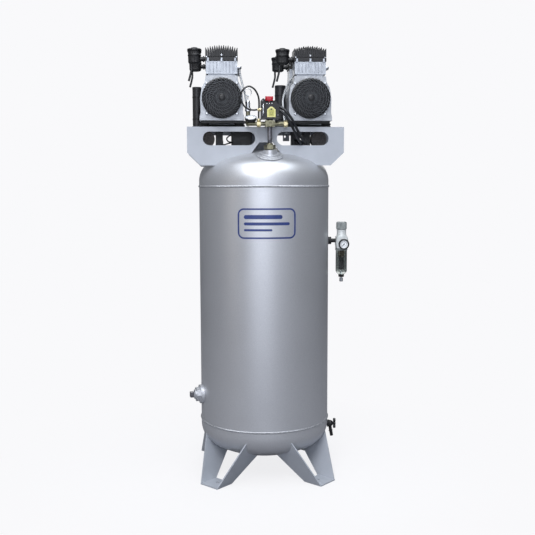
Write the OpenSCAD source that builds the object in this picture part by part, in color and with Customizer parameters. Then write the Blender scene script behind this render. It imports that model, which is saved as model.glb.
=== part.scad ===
// Vertical air compressor: two oil-free twin-cylinder pumps on a welded receiver.
// Origin: on the floor, on the receiver's axis. +Z is up, -Y is the front, +X is the right.

/* [Receiver] */
// Outside diameter of the receiver
tank_d = 508; // [450:1:600]
// Wall of the shell and of the dished heads
tank_wall = 4; // [3:0.5:6]
// Length of the rolled shell between its two girth welds
shell_len = 921; // [760:1:1200]
// Straight flange on each dished head
head_flange = 20; // [15:1:40]
// Height of the lower girth weld above the floor
shell_base = 211.5; // [200:0.5:270]
// Width of a girth weld bead
bead_w = 8; // [5:0.5:12]

/* [Legs] */
// Width of a foot pad
pad_w = 88; // [70:1:110]
// Length of a foot pad, along the radius
pad_len = 80; // [65:1:100]
// How far a foot pad reaches out past the receiver
pad_overhang = 68; // [55:1:90]
// Thickness of the leg plate
leg_t = 5; // [4:0.5:8]
// Lean of each leg cheek, outwards from upright
leg_lean = 21; // [12:1:26]
// Diameter of the anchor bolt hole in each pad
anchor_d = 14; // [10:1:18]
// Distance of the anchor hole from the pad's outer edge
anchor_inset = 49; // [35:1:55]

/* [Deck] */
// Width of the pump deck
deck_w = 592; // [560:1:680]
// Depth of the pump deck, front to rear
deck_d = 257; // [240:1:300]
// Height of the deck above the receiver's crown
deck_rise = 75; // [60:1:110]
// Thickness of the deck sheet
deck_t = 5; // [4:0.5:8]
// Length of each long slot in the aprons
slot_len = 196; // [150:1:200]
// Height of each long slot
slot_h = 51; // [40:1:56]
// Distance of a slot's middle from the receiver's axis
slot_x = 139; // [135:1:150]

/* [Pumps] */
// Distance of each pump's shaft from the receiver's axis
pump_x = 165; // [160:1:200]
// Height of the pump shaft above the deck
shaft_h = 103; // [100:1:125]
// Shaft diameter
shaft_d = 15; // [12:0.5:20]
// Cylinder bore
bore_d = 63; // [50:1:70]
// Piston stroke
stroke = 18; // [12:1:20]
// Distance from the pump's middle to each cylinder's axis
cyl_y = 100; // [98:1:115]
// Width of a cylinder barrel
barrel_w = 116; // [100:1:124]
// Height of a cylinder barrel
barrel_h = 46; // [42:1:60]
// Outside diameter of the fan guard
guard_d = 150; // [140:1:156]
// Depth of the fan guard
guard_depth = 35; // [30:1:45]
// Number of cooling fins on each cylinder head
fin_count = 13; // [9:1:15]
// Height of the middle fin
fin_rise = 44; // [30:1:55]

/* [Pipework] */
// Distance of the riser pipe in front of the receiver's axis
riser_y = 172; // [168:1:180]
// Sideways place of the riser pipe
riser_x = 11; // [0:1:15]
// Outside diameter of the riser pipe
riser_d = 16.7; // [14:0.1:21]
// Diameter of the small loop tube
loop_d = 6.5; // [5:0.5:8]
// Diameter of the discharge hoses
hose_d = 8; // [6:0.5:10]
// Diameter of each motor cable
cable_d = 10; // [8:0.5:11]

/* [Filter regulator] */
// Height of the regulator's ports above the floor
reg_z = 916; // [700:1:1000]
// Distance from the receiver's wall to the regulator's axis
reg_reach = 56; // [50:1:80]
// Diameter of the clear bowl
bowl_d = 45; // [38:1:50]
// Length of the clear bowl
bowl_h = 106; // [70:1:110]

/* [Hidden] */
$fn = 96;
LEFT = -1;
RIGHT = 1;

// Fits
run_gap = 0.05;    // radial clearance of a turning or sliding fit
free_gap = 0.4;    // clearance between pieces that pass each other
eps = 1;           // overshoot of a cutting tool

// Receiver
tank_r = tank_d / 2;
crown_r = 0.904 * tank_d;      // dished head: crown radius
knuckle_r = 0.173 * tank_d;    // dished head: knuckle radius
knuckle_x = tank_r - knuckle_r;
crown_drop = sqrt(pow(crown_r - knuckle_r, 2) - pow(knuckle_x, 2));
blend_k = knuckle_x / (crown_r - knuckle_r);
tangent_low = shell_base - head_flange;
tangent_high = shell_base + shell_len + head_flange;
crown_top = tangent_high + crown_r - crown_drop;
deck_top = crown_top + deck_rise;

// Height of the outside of a dished head above its tangent line, at radius rho
function dome(rho) = rho < blend_k * crown_r
    ? sqrt(crown_r * crown_r - rho * rho) - crown_drop
    : sqrt(max(0, knuckle_r * knuckle_r - pow(rho - knuckle_x, 2)));

// Legs
leg_reach = tank_r + pad_overhang;
cheek_inset = 3.7;   // the cheek's top corner lies this far inside the receiver's wall
cheek_top_z = tangent_low - dome(tank_r - cheek_inset);
cheek_top_t = pad_w / 2 + cheek_top_z * tan(leg_lean);
cheek_top_r = sqrt(pow(tank_r - cheek_inset, 2) - pow(cheek_top_t, 2));
cheek_root_r = tank_r * 0.51;
cheek_root_z = tangent_low - dome(norm([cheek_root_r, pad_w])) + 3;

// Deck
apron_chamfer = 48;                       // corner cut of each apron
apron_drop = 144;                         // depth of each apron
arch_top = [26, 58];                      // half width and depth of the arch's top
arch_foot = [54, 96];                     // half width and depth of the arch's feet
slot_drop = 43.5;                         // depth of the slots' middle
mount_x = 66;                             // pump bolts, each side of the shaft
bolt_d = 8;                               // pump bolt
rubber_h = 14;                            // rubber mount under each rail
rail_h = 8;                               // steel rail under each crankcase
rail_len = 156;
rail_w = 40;
rail_extra = 17;                           // the left rails reach this much further in
tab_x = 86;                                // cable tab behind the right slot
tab_w = 26;
tab_h = 36;
tab_t = 4;
box_y = 30;                               // front of the wiring boxes under the deck
box_h = 58;
box_d = 55;
boxes = [[-187, 28], [-125, 80], [114, 32], [160, 27]];   // left edge and width of each
silencer_x = 222;
silencer_r = 31;

// Pump, measured from the shaft's middle
case_bottom = rubber_h + rail_h - shaft_h;
case_top = 83;                            // top of the crankcase's neck
case_in = 57;                             // crankcase's inner wall, from the pump's middle
case_out = cyl_y + 43;                    // crankcase's outer wall
case_wall = 12;                           // end walls, which seat the bearings
bell_in = 38;                             // edge of the bell that meets the stator
stack_r = 76;                             // stator stack
stack_bore_r = 39;
core_r = stack_bore_r - 0.6;              // rotor core, with its air gap
neck_w = barrel_w + 2;
foot_w = 166;
bearing_r = 17.5;
bearing_w = 11;
shaft_r = shaft_d / 2;
crank_throw = stroke / 2;
crank_r = 15;                             // eccentric disc
crank_w = 14;
sweep_r = crank_r + crank_throw;          // circle swept by the eccentric
yoke_r = sweep_r + free_gap;              // rod yoke's inner half width
yoke_wall = 5;
chamber_r = yoke_r + yoke_wall + stroke + 4;
spigot_h = 6;
barrel_d = 90;
barrel_top = case_top + spigot_h + barrel_h;
post_h = 6;                               // three posts on each long side of a barrel
post_w = 13;
head_d = barrel_d + 4;
head_w = barrel_w + 4;
head_base = 14;
fin_t = 4;
fin_fall = 11;                            // how much lower the end fins are
piston_t = 12;
piston_top = barrel_top - crank_throw - 2;
fan_r = guard_d / 2 - 9;
guard_wall = 2.5;
shaft_end = case_out + 24;
filter_d = 50;
filter_h = 55;
inlet_h = 18;                             // height of the spigot above its lower end
filter_x = -100;
filter_z = 130;                           // filter's lower end
crossover_x = barrel_w / 2 + 10;
crossover_z = barrel_top - 17;
crossover_d = 12;

// Pipework, heights measured from the deck
arm_z = deck_top + 8;
arm_r = 8;
manifold_w = 34;
manifold_h = 24;
port_rho = norm([riser_x, riser_y]);
port_z = tangent_high + dome(port_rho);
boss_top = port_z + 19;
reducer_h = 26;
riser_r = riser_d / 2;
boss_bore_r = 12;
gauge_x = -60;
gauge_r = 22;
gauge_depth = 16;
gauge_stem = 10;
gauge_tilt = 23.5;                        // the face leans this far from level, to the front
relief_x = -68;
relief_y = -138;
stem_r = 2;                               // pull stem of the safety valve
seat_h = 48;                               // its seat above the arm's axis
left_port_x = -30;
right_port_x = 70;
port_back_y = -150;
switch_w = 66;
switch_d = 50;
switch_h = 68;
switch_floor = deck_top + 30;
loop_port = [-36, -190, deck_top + 58];
pocket = [38, 28, 14];                    // recess for the knob in the cover's top
pocket_at = [-22, -switch_d / 2, switch_h - pocket[2]];
knob_at = [-3, 14 - switch_d / 2, switch_h - 4];
knob_stem_r = 4;

// Filter regulator
reg_x = tank_r + reg_reach;
reg_body = [44, 44, 46];
reg_floor = reg_z - 30;
bonnet_h = 28;
port_r = 6.6;                             // outlet port, threaded
dial_r = 21;
dial_x = reg_x + 4;
dial_z = reg_z - 13;
dial_y = -reg_body[1] / 2 - 4;
dial_depth = 16;
knob_r = 21;
knob_h = 31;
drain_h = 30;

// Side fittings
bung_z = 316;
bung_angle = 192;                         // seen from above, from +X
bung_reach = 50;
valve_z = 168;
valve_x = tank_r + 14;
valve_r = 13;
spindle_r = 4;

// ---------------------------------------------------------------- helpers

module both_ends() {
    children();
    mirror([0, 1, 0]) children();
}

module at_pump(side) {
    translate([side * pump_x, 0, deck_top + shaft_h]) children();
}

// Cylinder along Y from y0 to y1
module rod_y(r, y0, y1) {
    translate([0, y1, 0]) rotate([90, 0, 0]) cylinder(r = r, h = y1 - y0);
}

// Cylinder along X from x0 to x1
module rod_x(r, x0, x1) {
    translate([x0, 0, 0]) rotate([0, 90, 0]) cylinder(r = r, h = x1 - x0);
}

// Upright ring
module ring(r_out, r_in, h) {
    difference() {
        cylinder(r = r_out, h = h);
        translate([0, 0, -eps]) cylinder(r = r_in, h = h + 2 * eps);
    }
}

// Catmull-Rom curve through the points p, with n rings to each span
function spline(p, n) = [
    for (i = [0 : len(p) - 2], k = [0 : n - 1]) span_point(p, i, k / n),
    p[len(p) - 1]
];
function clamp_i(p, i) = p[max(0, min(len(p) - 1, i))];
function span_point(p, i, t) =
    let (a = clamp_i(p, i - 1), b = p[i], c = p[i + 1], d = clamp_i(p, i + 2))
    0.5 * (2 * b + (c - a) * t + (2 * a - 5 * b + 4 * c - d) * t * t
        + (3 * b - a - 3 * c + d) * t * t * t);
function unit(v) = v / norm(v);
function heading(q, i) = unit(clamp_i(q, i + 1) - clamp_i(q, i - 1));

// Round tube of diameter d along the points p; no part of it may run along up
module tube(p, d, up, spans = 4, sides = 10) {
    q = spline(p, spans);
    rings = [for (i = [0 : len(q) - 1])
        let (t = heading(q, i), a = unit(cross(t, up)), b = cross(t, a))
        for (k = [0 : sides - 1])
            q[i] + d / 2 * (a * cos(360 * k / sides) + b * sin(360 * k / sides))];
    walls = [for (i = [0 : len(q) - 2], k = [0 : sides - 1])
        [i * sides + k, i * sides + (k + 1) % sides,
            (i + 1) * sides + (k + 1) % sides, (i + 1) * sides + k]];
    first = [[for (k = [0 : sides - 1]) sides - 1 - k]];
    last = [[for (k = [0 : sides - 1]) (len(q) - 1) * sides + k]];
    polyhedron(rings, concat(first, walls, last), convexity = 4);
}

// ---------------------------------------------------------------- receiver

// Half section of a solid dished head, tangent line at y = 0, grown inwards by inset
module head_profile(inset = 0) {
    join_x = blend_k * (crown_r - inset);
    intersection() {
        translate([0, -crown_drop]) circle(r = crown_r - inset);
        square([join_x, tank_r]);
    }
    intersection() {
        translate([knuckle_x, 0]) circle(r = knuckle_r - inset);
        translate([join_x, 0]) square([tank_r, tank_r]);
    }
    translate([0, -head_flange]) square([tank_r - inset, head_flange]);
}

module solid_head(inset = 0) {
    rotate_extrude($fn = 240) head_profile(inset, $fn = 240);
}

module solid_top_head() {
    translate([0, 0, tangent_high]) solid_head();
}

// The bottom head as two simple solids, to trim what is welded under it
module bottom_head_trim() {
    intersection() {
        translate([0, 0, tangent_low + crown_drop]) sphere(r = crown_r, $fn = 240);
        cylinder(r = blend_k * crown_r, h = tangent_low);
    }
    translate([0, 0, tangent_low])
        rotate_extrude($fn = 240) translate([knuckle_x, 0]) circle(r = knuckle_r, $fn = 240);
}

module head_shell() {
    difference() {
        solid_head();
        solid_head(tank_wall);
    }
}

module at_bung() {
    translate([0, 0, bung_z]) rotate([0, 0, bung_angle]) children();
}

module tank_shell() {
    color([0.74, 0.75, 0.77])
    difference() {
        translate([0, 0, shell_base]) ring(tank_r, tank_r - tank_wall, shell_len);
        translate([0, 0, reg_z]) rod_x(8, tank_r - 20, tank_r + eps);
        at_bung() rod_x(18, tank_r - 20, tank_r + eps);
    }
}

module top_head() {
    color([0.76, 0.77, 0.79])
    difference() {
        translate([0, 0, tangent_high]) head_shell();
        translate([riser_x, -riser_y, port_z - 60]) cylinder(r = boss_bore_r, h = 80);
    }
}

module bottom_head() {
    color([0.70, 0.71, 0.73])
    difference() {
        translate([0, 0, tangent_low]) mirror([0, 0, 1]) head_shell();
        translate([0, 0, valve_z]) rod_x(7, tank_r - 60, tank_r + eps);
    }
}

module girth_welds() {
    color([0.78, 0.79, 0.80])
    for (z = [shell_base, shell_base + shell_len])
        translate([0, 0, z])
            rotate_extrude()
                difference() {
                    translate([tank_r - 1.5, 0]) circle(r = bead_w / 2);
                    translate([0, -bead_w]) square([tank_r, 2 * bead_w]);
                }
}

// ---------------------------------------------------------------- legs

// A leg on +X: a pad on the floor and two cheeks that lean outwards up to the head
module leg(angle) {
    cheek = [[leg_reach, 0], [cheek_top_r, cheek_top_z], [cheek_root_r, cheek_top_z],
        [cheek_root_r, cheek_root_z], [leg_reach - pad_len, 0]];
    color([0.74, 0.76, 0.80])
    rotate([0, 0, angle])
    difference() {
        union() {
            translate([leg_reach - pad_len, -pad_w / 2, 0])
                cube([pad_len, pad_w, leg_t]);
            for (s = [LEFT, RIGHT])
                mirror([0, s < 0 ? 1 : 0, 0])
                    translate([0, pad_w / 2, 0])
                        rotate([90 - leg_lean, 0, 0])
                            linear_extrude(leg_t)
                                polygon([for (p = cheek) [p[0], p[1] / cos(leg_lean)]]);
        }
        translate([leg_reach - anchor_inset, 0, -eps])
            cylinder(d = anchor_d, h = leg_t + 2 * eps);
        bottom_head_trim();
    }
}

// ---------------------------------------------------------------- deck

module apron_outline(arched) {
    w = deck_w / 2;
    difference() {
        polygon([[-w, 0], [w, 0], [w, apron_chamfer - apron_drop],
            [w - apron_chamfer - 2, -apron_drop], [apron_chamfer + 2 - w, -apron_drop],
            [-w, apron_chamfer - apron_drop]]);
        for (s = [LEFT, RIGHT])
            translate([s * slot_x, -slot_drop])
                slot_shape(slot_len, slot_h);
        if (arched) polygon([[-arch_foot[0], -apron_drop - eps], [-arch_foot[0], -arch_foot[1]],
            [-arch_top[0], -arch_top[1]], [arch_top[0], -arch_top[1]],
            [arch_foot[0], -arch_foot[1]], [arch_foot[0], -apron_drop - eps]]);
    }
}

module slot_shape(l, h) {
    square([l - h, h], center = true);
    for (s = [LEFT, RIGHT])
        translate([s * (l - h) / 2, 0]) circle(d = h);
}

module at_pump_bolts() {
    for (p = [LEFT, RIGHT], s = [LEFT, RIGHT], e = [LEFT, RIGHT])
        translate([p * pump_x + s * mount_x, e * cyl_y, deck_top]) children();
}

module deck() {
    color([0.76, 0.78, 0.82])
    difference() {
        union() {
            translate([-deck_w / 2, -deck_d / 2, deck_top - deck_t])
                cube([deck_w, deck_d, deck_t]);
            for (front = [true, false])
                mirror([0, front ? 0 : 1, 0])
                    translate([0, deck_t - deck_d / 2, deck_top])
                        rotate([90, 0, 0]) linear_extrude(deck_t) apron_outline(front);
            translate([tab_x, deck_d / 2 - 14, deck_top - deck_t - tab_h])
                difference() {
                    cube([tab_w, tab_t, tab_h]);
                    translate([8, 0, tab_h * 0.5]) rod_y(4, -eps, tab_t + eps);
                }
        }
        solid_top_head();
        at_pump_bolts()
            translate([0, 0, -deck_t - eps])
                cylinder(d = bolt_d + 2 * free_gap, h = deck_t + 2 * eps);
    }
}

module wiring_boxes() {
    color([0.07, 0.07, 0.08])
    for (b = boxes)
        translate([b[0], box_y, deck_top - deck_t - box_h]) cube([b[1], box_d, box_h]);
}

// Round silencers hung under the deck by a saddle
module silencers() {
    color([0.10, 0.10, 0.11])
    for (side = [LEFT, RIGHT])
        translate([side * silencer_x, 0, deck_top - deck_t]) {
            translate([-12, box_y + 8, -8]) cube([24, box_d - 16, 8]);
            translate([0, 0, -silencer_r - 2]) rod_y(silencer_r, box_y, box_y + box_d);
        }
}

module rubber_mounts() {
    color([0.06, 0.06, 0.06])
    at_pump_bolts() ring(19, bolt_d / 2 + free_gap, rubber_h);
}

module mount_rails() {
    color([0.09, 0.09, 0.10])
    for (p = [LEFT, RIGHT], e = [LEFT, RIGHT])
        translate([p * pump_x, e * cyl_y, deck_top + rubber_h])
            difference() {
                translate([-rail_len / 2, -rail_w / 2, 0])
                    cube([rail_len + (p == LEFT ? rail_extra : 0), rail_w, rail_h]);
                for (s = [LEFT, RIGHT])
                    translate([s * mount_x, 0, -eps])
                        cylinder(d = bolt_d + 2 * free_gap, h = rail_h + 2 * eps);
            }
}

module mount_bolts() {
    grip = deck_t + rubber_h + rail_h;
    color([0.80, 0.80, 0.82])
    at_pump_bolts()
        translate([0, 0, -deck_t]) {
            translate([0, 0, -6]) cylinder(d = 15, h = 6, $fn = 6);
            cylinder(d = bolt_d, h = grip + 14);
        }
}

// ---------------------------------------------------------------- pumps

module crankcase_outline() {
    w = neck_w / 2;
    f = foot_w / 2;
    side = [[f, case_bottom], [f, case_bottom + 12], [f - 4, case_bottom + 30], [f - 3, 0],
        [f - 9, 40], [w + 3, 60], [w, case_top]];
    polygon(concat(side, [for (i = [len(side) - 1 : -1 : 0]) [-side[i][0], side[i][1]]]));
}

module crankcases(side) {
    color([0.85, 0.86, 0.87])
    at_pump(side)
    both_ends()
    difference() {
        union() {
            translate([0, -case_in, 0]) rotate([90, 0, 0])
                linear_extrude(case_out - case_in) crankcase_outline();
            difference() {
                rod_y(stack_r, -case_in, -bell_in);
                rod_y(stack_r - 5, -case_in, -bell_in + eps);
            }
        }
        rod_y(chamber_r, case_wall - case_out, -case_in - case_wall);
        rod_y(bearing_r, -case_out - eps, eps - case_in);
        translate([0, -cyl_y, 0]) cylinder(d = bore_d - 4, h = case_top + eps);
        for (s = [LEFT, RIGHT])
            translate([s * mount_x, -cyl_y, case_bottom - eps])
                cylinder(d = bolt_d, h = 14 + eps);
    }
}

module bearings() {
    color([0.75, 0.76, 0.78])
    for (side = [LEFT, RIGHT])
        at_pump(side)
            both_ends()
                for (y = [-case_out, -case_in - bearing_w])
                    difference() {
                        rod_y(bearing_r, y, y + bearing_w);
                        rod_y(shaft_r + run_gap, y - eps, y + bearing_w + eps);
                    }
}

module stators() {
    for (side = [LEFT, RIGHT])
        at_pump(side) {
            color([0.45, 0.46, 0.48])
                difference() {
                    rod_y(stack_r, -bell_in, bell_in);
                    rod_y(stack_bore_r, -bell_in - eps, bell_in + eps);
                }
            color([0.62, 0.32, 0.14]) windings();
        }
}

// Copper coils that stand out of each end of a stator, inside the bells
module windings() {
    coil_w = 14;
    both_ends()
        difference() {
            rod_y(stack_r - 10, -bell_in - coil_w, -bell_in);
            rod_y(stack_bore_r + 6, -bell_in - coil_w - eps, eps - bell_in);
        }
}

// Shaft, core and the two eccentrics: the front one up, the rear one down
module rotor(side) {
    color([0.55, 0.56, 0.58])
    at_pump(side) {
        rod_y(shaft_r, -shaft_end, shaft_end);
        difference() {
            rod_y(core_r, -bell_in, bell_in);
            rod_y(shaft_r, -bell_in - eps, bell_in + eps);
        }
        for (e = [LEFT, RIGHT])
            difference() {
                translate([0, 0, -e * crank_throw])
                    rod_y(crank_r, e * cyl_y - crank_w / 2, e * cyl_y + crank_w / 2);
                rod_y(shaft_r, e * cyl_y - crank_w, e * cyl_y + crank_w);
            }
    }
}

module fans(side) {
    blade_count = 9;
    hub_r = 14;
    blade_w = 14;
    y0 = case_out + 6;
    color([0.05, 0.05, 0.05])
    at_pump(side)
    both_ends()
    difference() {
        union() {
            rod_y(hub_r, -y0 - blade_w, -y0);
            rod_y(fan_r, -y0 - 2, -y0);
            for (k = [0 : blade_count - 1])
                rotate([0, 360 * k / blade_count, 0])
                    translate([hub_r - 2, -y0 - blade_w, -1.25])
                        cube([fan_r - hub_r, blade_w, 2.5]);
        }
        rod_y(shaft_r, -y0 - blade_w - eps, eps - y0);
    }
}

module guards() {
    r = guard_d / 2;
    front = case_out + guard_depth;
    spokes = 16;
    bands = [16, 36, 56];
    color([0.05, 0.05, 0.06])
    for (side = [LEFT, RIGHT])
    at_pump(side)
    both_ends() {
        difference() {
            rod_y(r, -front, -case_out);
            rod_y(r - guard_wall, 3 - front, eps - case_out);
            rod_y(r - 8, -front - eps, eps - case_out);
        }
        rod_y(bands[0], -front, 3 - front);
        for (b = [bands[1], bands[2]])
            difference() {
                rod_y(b, -front, 3 - front);
                rod_y(b - 3, -front - eps, 3 - front + eps);
            }
        for (k = [0 : spokes - 1])
            rotate([0, 360 * k / spokes, 0])
                translate([bands[0] - 1, -front, -1.5])
                    cube([r - 8 - bands[0] + 2, 3, 3]);
    }
}

module cylinders(side) {
    grooves = 8;
    pitch = (barrel_w - 22) / grooves;
    color([0.92, 0.93, 0.94])
    at_pump(side)
    both_ends()
    translate([0, -cyl_y, case_top])
    difference() {
        union() {
            translate([8 - barrel_w / 2, 6 - barrel_d / 2, 0])
                cube([barrel_w - 16, barrel_d - 12, spigot_h]);
            translate([-barrel_w / 2, -barrel_d / 2, spigot_h])
                cube([barrel_w, barrel_d, barrel_h]);
            for (s = [LEFT, RIGHT], x = [-1, 0, 1])
                translate([x * (barrel_w - post_w) / 2 - post_w / 2,
                        s * (barrel_d - 8) / 2 - 4, spigot_h + barrel_h])
                    cube([post_w, 8, post_h]);
        }
        translate([0, 0, -eps]) cylinder(d = bore_d, h = 80);
        for (s = [LEFT, RIGHT], k = [0 : grooves - 1])
            translate([(k - (grooves - 1) / 2) * pitch - 1.5, s * barrel_d / 2 - 2.5,
                    spigot_h + 4])
                cube([3, 5, barrel_h - 8]);
    }
}

module cylinder_heads(side) {
    pitch = (head_w - fin_t) / (fin_count - 1);
    color([0.06, 0.06, 0.07])
    at_pump(side)
    both_ends()
    translate([0, -cyl_y, barrel_top])
    difference() {
        union() {
            translate([-head_w / 2, -head_d / 2, 0]) cube([head_w, head_d, head_base]);
            for (k = [0 : fin_count - 1])
                let (x = (k - (fin_count - 1) / 2) * pitch,
                        h = fin_rise - fin_fall * pow(2 * x / head_w, 2))
                    translate([x - fin_t / 2, -head_d / 2, head_base - eps])
                        cube([fin_t, head_d, h + eps]);
        }
        for (s = [LEFT, RIGHT], x = [-1, 0, 1])
            translate([x * (barrel_w - post_w) / 2 - post_w / 2 - free_gap,
                    s * (head_d / 2 + 0.5) - (s > 0 ? 11 : 0), -eps])
                cube([post_w + 2 * free_gap, 11, post_h + eps + free_gap]);
    }
}

// Piston and rod in one; the yoke clears the circle that the eccentric sweeps
module piston(side, e) {
    color([0.80, 0.81, 0.83])
    at_pump(side)
    translate([0, e * cyl_y, 0]) {
        translate([0, 0, piston_top - piston_t])
            cylinder(r = bore_d / 2 - run_gap, h = piston_t);
        translate([-8, -5, yoke_r + crank_throw + yoke_wall - 2])
            cube([16, 10, piston_top - piston_t - yoke_r - crank_throw - yoke_wall + 2]);
        difference() {
            yoke_solid(yoke_r + yoke_wall, 5);
            yoke_solid(yoke_r, 5 + eps);
        }
    }
}

module yoke_solid(r, half) {
    translate([-r, -half, -crank_throw]) cube([2 * r, 2 * half, stroke]);
    for (z = [-crank_throw, crank_throw])
        translate([0, 0, z]) rod_y(r, -half, half);
}

module crossovers() {
    r = crossover_d / 2;
    color([0.55, 0.58, 0.55])
    for (side = [LEFT, RIGHT])
    at_pump(side)
    translate([0, 0, crossover_z]) {
        translate([crossover_x, 0, 0]) rod_y(r, -cyl_y, cyl_y);
        for (e = [LEFT, RIGHT])
            translate([0, e * cyl_y, 0]) {
                rod_x(r + 2, barrel_w / 2, crossover_x);
                translate([crossover_x, 0, 0]) sphere(r = r + 2);
            }
    }
}

// Canister with a cap, a spigot into its cylinder head, and a cranked inlet stub below
module filters() {
    stub_r = 4;
    drop = 22;
    reach = 42;
    kink = 14;
    color([0.06, 0.06, 0.07])
    for (side = [LEFT, RIGHT], e = [LEFT, RIGHT])
        at_pump(side)
        translate([filter_x, e * cyl_y, filter_z]) {
            cylinder(d = filter_d, h = filter_h - 8);
            translate([0, 0, filter_h - 8]) cylinder(d = filter_d + 4, h = 8);
            translate([0, 0, filter_h]) cylinder(d = 12, h = 6);
            translate([0, 0, inlet_h]) rod_x(8, filter_d / 2 - 3, -filter_x - head_w / 2);
            translate([-12, 0, -drop]) {
                cylinder(r = stub_r, h = drop + 2);
                sphere(r = stub_r + 0.8);
                rotate([0, 180 + kink, 0]) cylinder(r = stub_r, h = reach);
            }
        }
}

// Start capacitors: [middle from the pump's shaft, radius, height]
module capacitors() {
    color([0.05, 0.05, 0.06])
    for (c = [[LEFT * pump_x - stack_r - 18, 17, 160], [RIGHT * pump_x - stack_r - 23, 21, 168]])
        translate([c[0], 10, deck_top]) {
            cylinder(r = c[1] + 4, h = 10);
            cylinder(r = c[1], h = c[2]);
        }
}

// ---------------------------------------------------------------- pipework

// Boss welded square to the dome, with an upright socket
module port_boss() {
    color([0.80, 0.81, 0.82])
    difference() {
        union() {
            translate([0, 0, tangent_high - crown_drop])
                rotate([0, 0, atan2(-riser_y, riser_x)])
                    rotate([0, asin(port_rho / crown_r), 0])
                        translate([0, 0, crown_r - 4]) {
                            cylinder(r = 45, h = 9);
                            cylinder(r = 35, h = 14);
                        }
            translate([riser_x, -riser_y, port_z - 15])
                cylinder(r = 25, h = boss_top - port_z + 15);
        }
        solid_top_head();
        translate([riser_x, -riser_y, port_z - 40]) cylinder(r = boss_bore_r, h = 80);
    }
}

module port_reducer() {
    color([0.55, 0.53, 0.36])
    translate([riser_x, -riser_y, boss_top])
    difference() {
        union() {
            cylinder(r = 22, h = reducer_h - 6, $fn = 6);
            translate([0, 0, reducer_h - 6]) cylinder(r = riser_r + 4, h = 6);
            translate([0, 0, -12]) cylinder(r = boss_bore_r - run_gap, h = 12);
        }
        translate([0, 0, -12 - eps]) cylinder(r = 5, h = reducer_h + 12);
        translate([0, 0, reducer_h - 12]) cylinder(r = riser_r, h = 12 + eps);
    }
}

module riser_pipe() {
    z0 = boss_top + reducer_h - 12;
    color([0.45, 0.45, 0.47])
    translate([riser_x, -riser_y, z0])
        ring(riser_r, riser_r - 2.3, arm_z - 4 - z0);
}

// The two arms that branch off the manifold's block
module manifold_arms() {
    translate([0, -riser_y, arm_z]) rod_x(arm_r, relief_x, right_port_x);
    translate([relief_x, 0, arm_z]) rod_y(arm_r, -riser_y, relief_y);
    for (y = [-riser_y, relief_y])
        translate([relief_x, y, arm_z]) sphere(r = arm_r);
}

module manifold() {
    half = manifold_w / 2;
    floor_z = arm_z - manifold_h / 2;
    color([0.50, 0.50, 0.42])
    difference() {
        union() {
            translate([riser_x - half, -riser_y - half, floor_z])
                cube([manifold_w, manifold_w, manifold_h]);
            manifold_arms();
            translate([relief_x, relief_y, arm_z]) cylinder(r = arm_r, h = seat_h);
            translate([riser_x, 0, arm_z]) rod_y(11, -riser_y - half - 7, -riser_y);
        }
        translate([riser_x, -riser_y, floor_z - eps])
            cylinder(r = riser_r, h = arm_z - 4 - floor_z + eps);
        translate([riser_x, 0, arm_z])
            rotate([90, 0, 0])
                translate([0, 0, riser_y + half + 2]) cylinder(r = 6, h = 8, $fn = 6);
    }
}

// Brass unions: one behind each end of the manifold for the hoses
module tube_fittings() {
    color([0.78, 0.66, 0.34])
    for (x = [left_port_x, right_port_x])
        difference() {
            union() {
                translate([x, -riser_y, arm_z]) {
                    rotate([0, 90, 0])
                        translate([0, 0, -7]) cylinder(r = 13, h = 14, $fn = 6);
                    rod_y(6, 0, riser_y + port_back_y);
                }
            }
            translate([0, -riser_y, arm_z]) rod_x(arm_r, relief_x, right_port_x);
        }
}

module switch_base() {
    color([0.16, 0.16, 0.17])
    translate([riser_x, -riser_y, arm_z + manifold_h / 2]) {
        translate([-switch_w / 2, -switch_d / 2, 4])
            cube([switch_w, switch_d, switch_floor - arm_z - manifold_h / 2 - 4]);
        cylinder(r = 12, h = 4);
    }
}

module cover_outline(inset = 0) {
    w = switch_w / 2 - inset;
    h = switch_h - inset;
    polygon([[-w, 0], [w, 0], [w, h - 24], [w - 10, h - 12], [w - 24, h], [6 - w, h],
        [-w, h - 6]]);
}

module switch_cover() {
    wall = 2.5;
    color([0.05, 0.05, 0.06])
    translate([riser_x, -riser_y, switch_floor])
    difference() {
        translate([0, switch_d / 2, 0]) rotate([90, 0, 0])
            linear_extrude(switch_d) cover_outline();
        difference() {
            translate([0, switch_d / 2 - wall, -eps]) rotate([90, 0, 0])
                linear_extrude(switch_d - 2 * wall) cover_outline(wall);
            translate(pocket_at - wall * [1, 1, 1])
                cube(pocket + wall * [2, 2, 2]);
        }
        translate(pocket_at - [0, eps, 0]) cube(pocket + [0, eps, eps]);
        translate([knob_at[0], knob_at[1], 0])
            cylinder(r = knob_stem_r + run_gap, h = switch_h);
    }
}

// Push-pull knob, which slides on its stem through the pocket's floor
module switch_knob() {
    color([0.72, 0.10, 0.16])
    translate([riser_x, -riser_y, switch_floor])
    translate(knob_at) {
        cylinder(r = 12.5, h = 11);
        translate([-15, -3.5, 4]) cube([30, 7, 9]);
        translate([0, 0, -30]) cylinder(r = knob_stem_r, h = 31);
    }
}

module unloader_valve() {
    color([0.70, 0.62, 0.38])
    translate([0, loop_port[1], loop_port[2]]) {
        rod_x(4, loop_port[0], riser_x - switch_w / 2);
        rod_x(7, -30, riser_x - switch_w / 2);
    }
}

module safety_valve() {
    color([0.85, 0.85, 0.84])
    translate([relief_x, relief_y, arm_z + seat_h])
        difference() {
            union() {
                cylinder(r = 11, h = 12, $fn = 6);
                translate([0, 0, 12]) cylinder(r = 8.5, h = 30);
            }
            translate([0, 0, 14]) cylinder(r = stem_r + run_gap, h = 40);
        }
}

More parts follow.
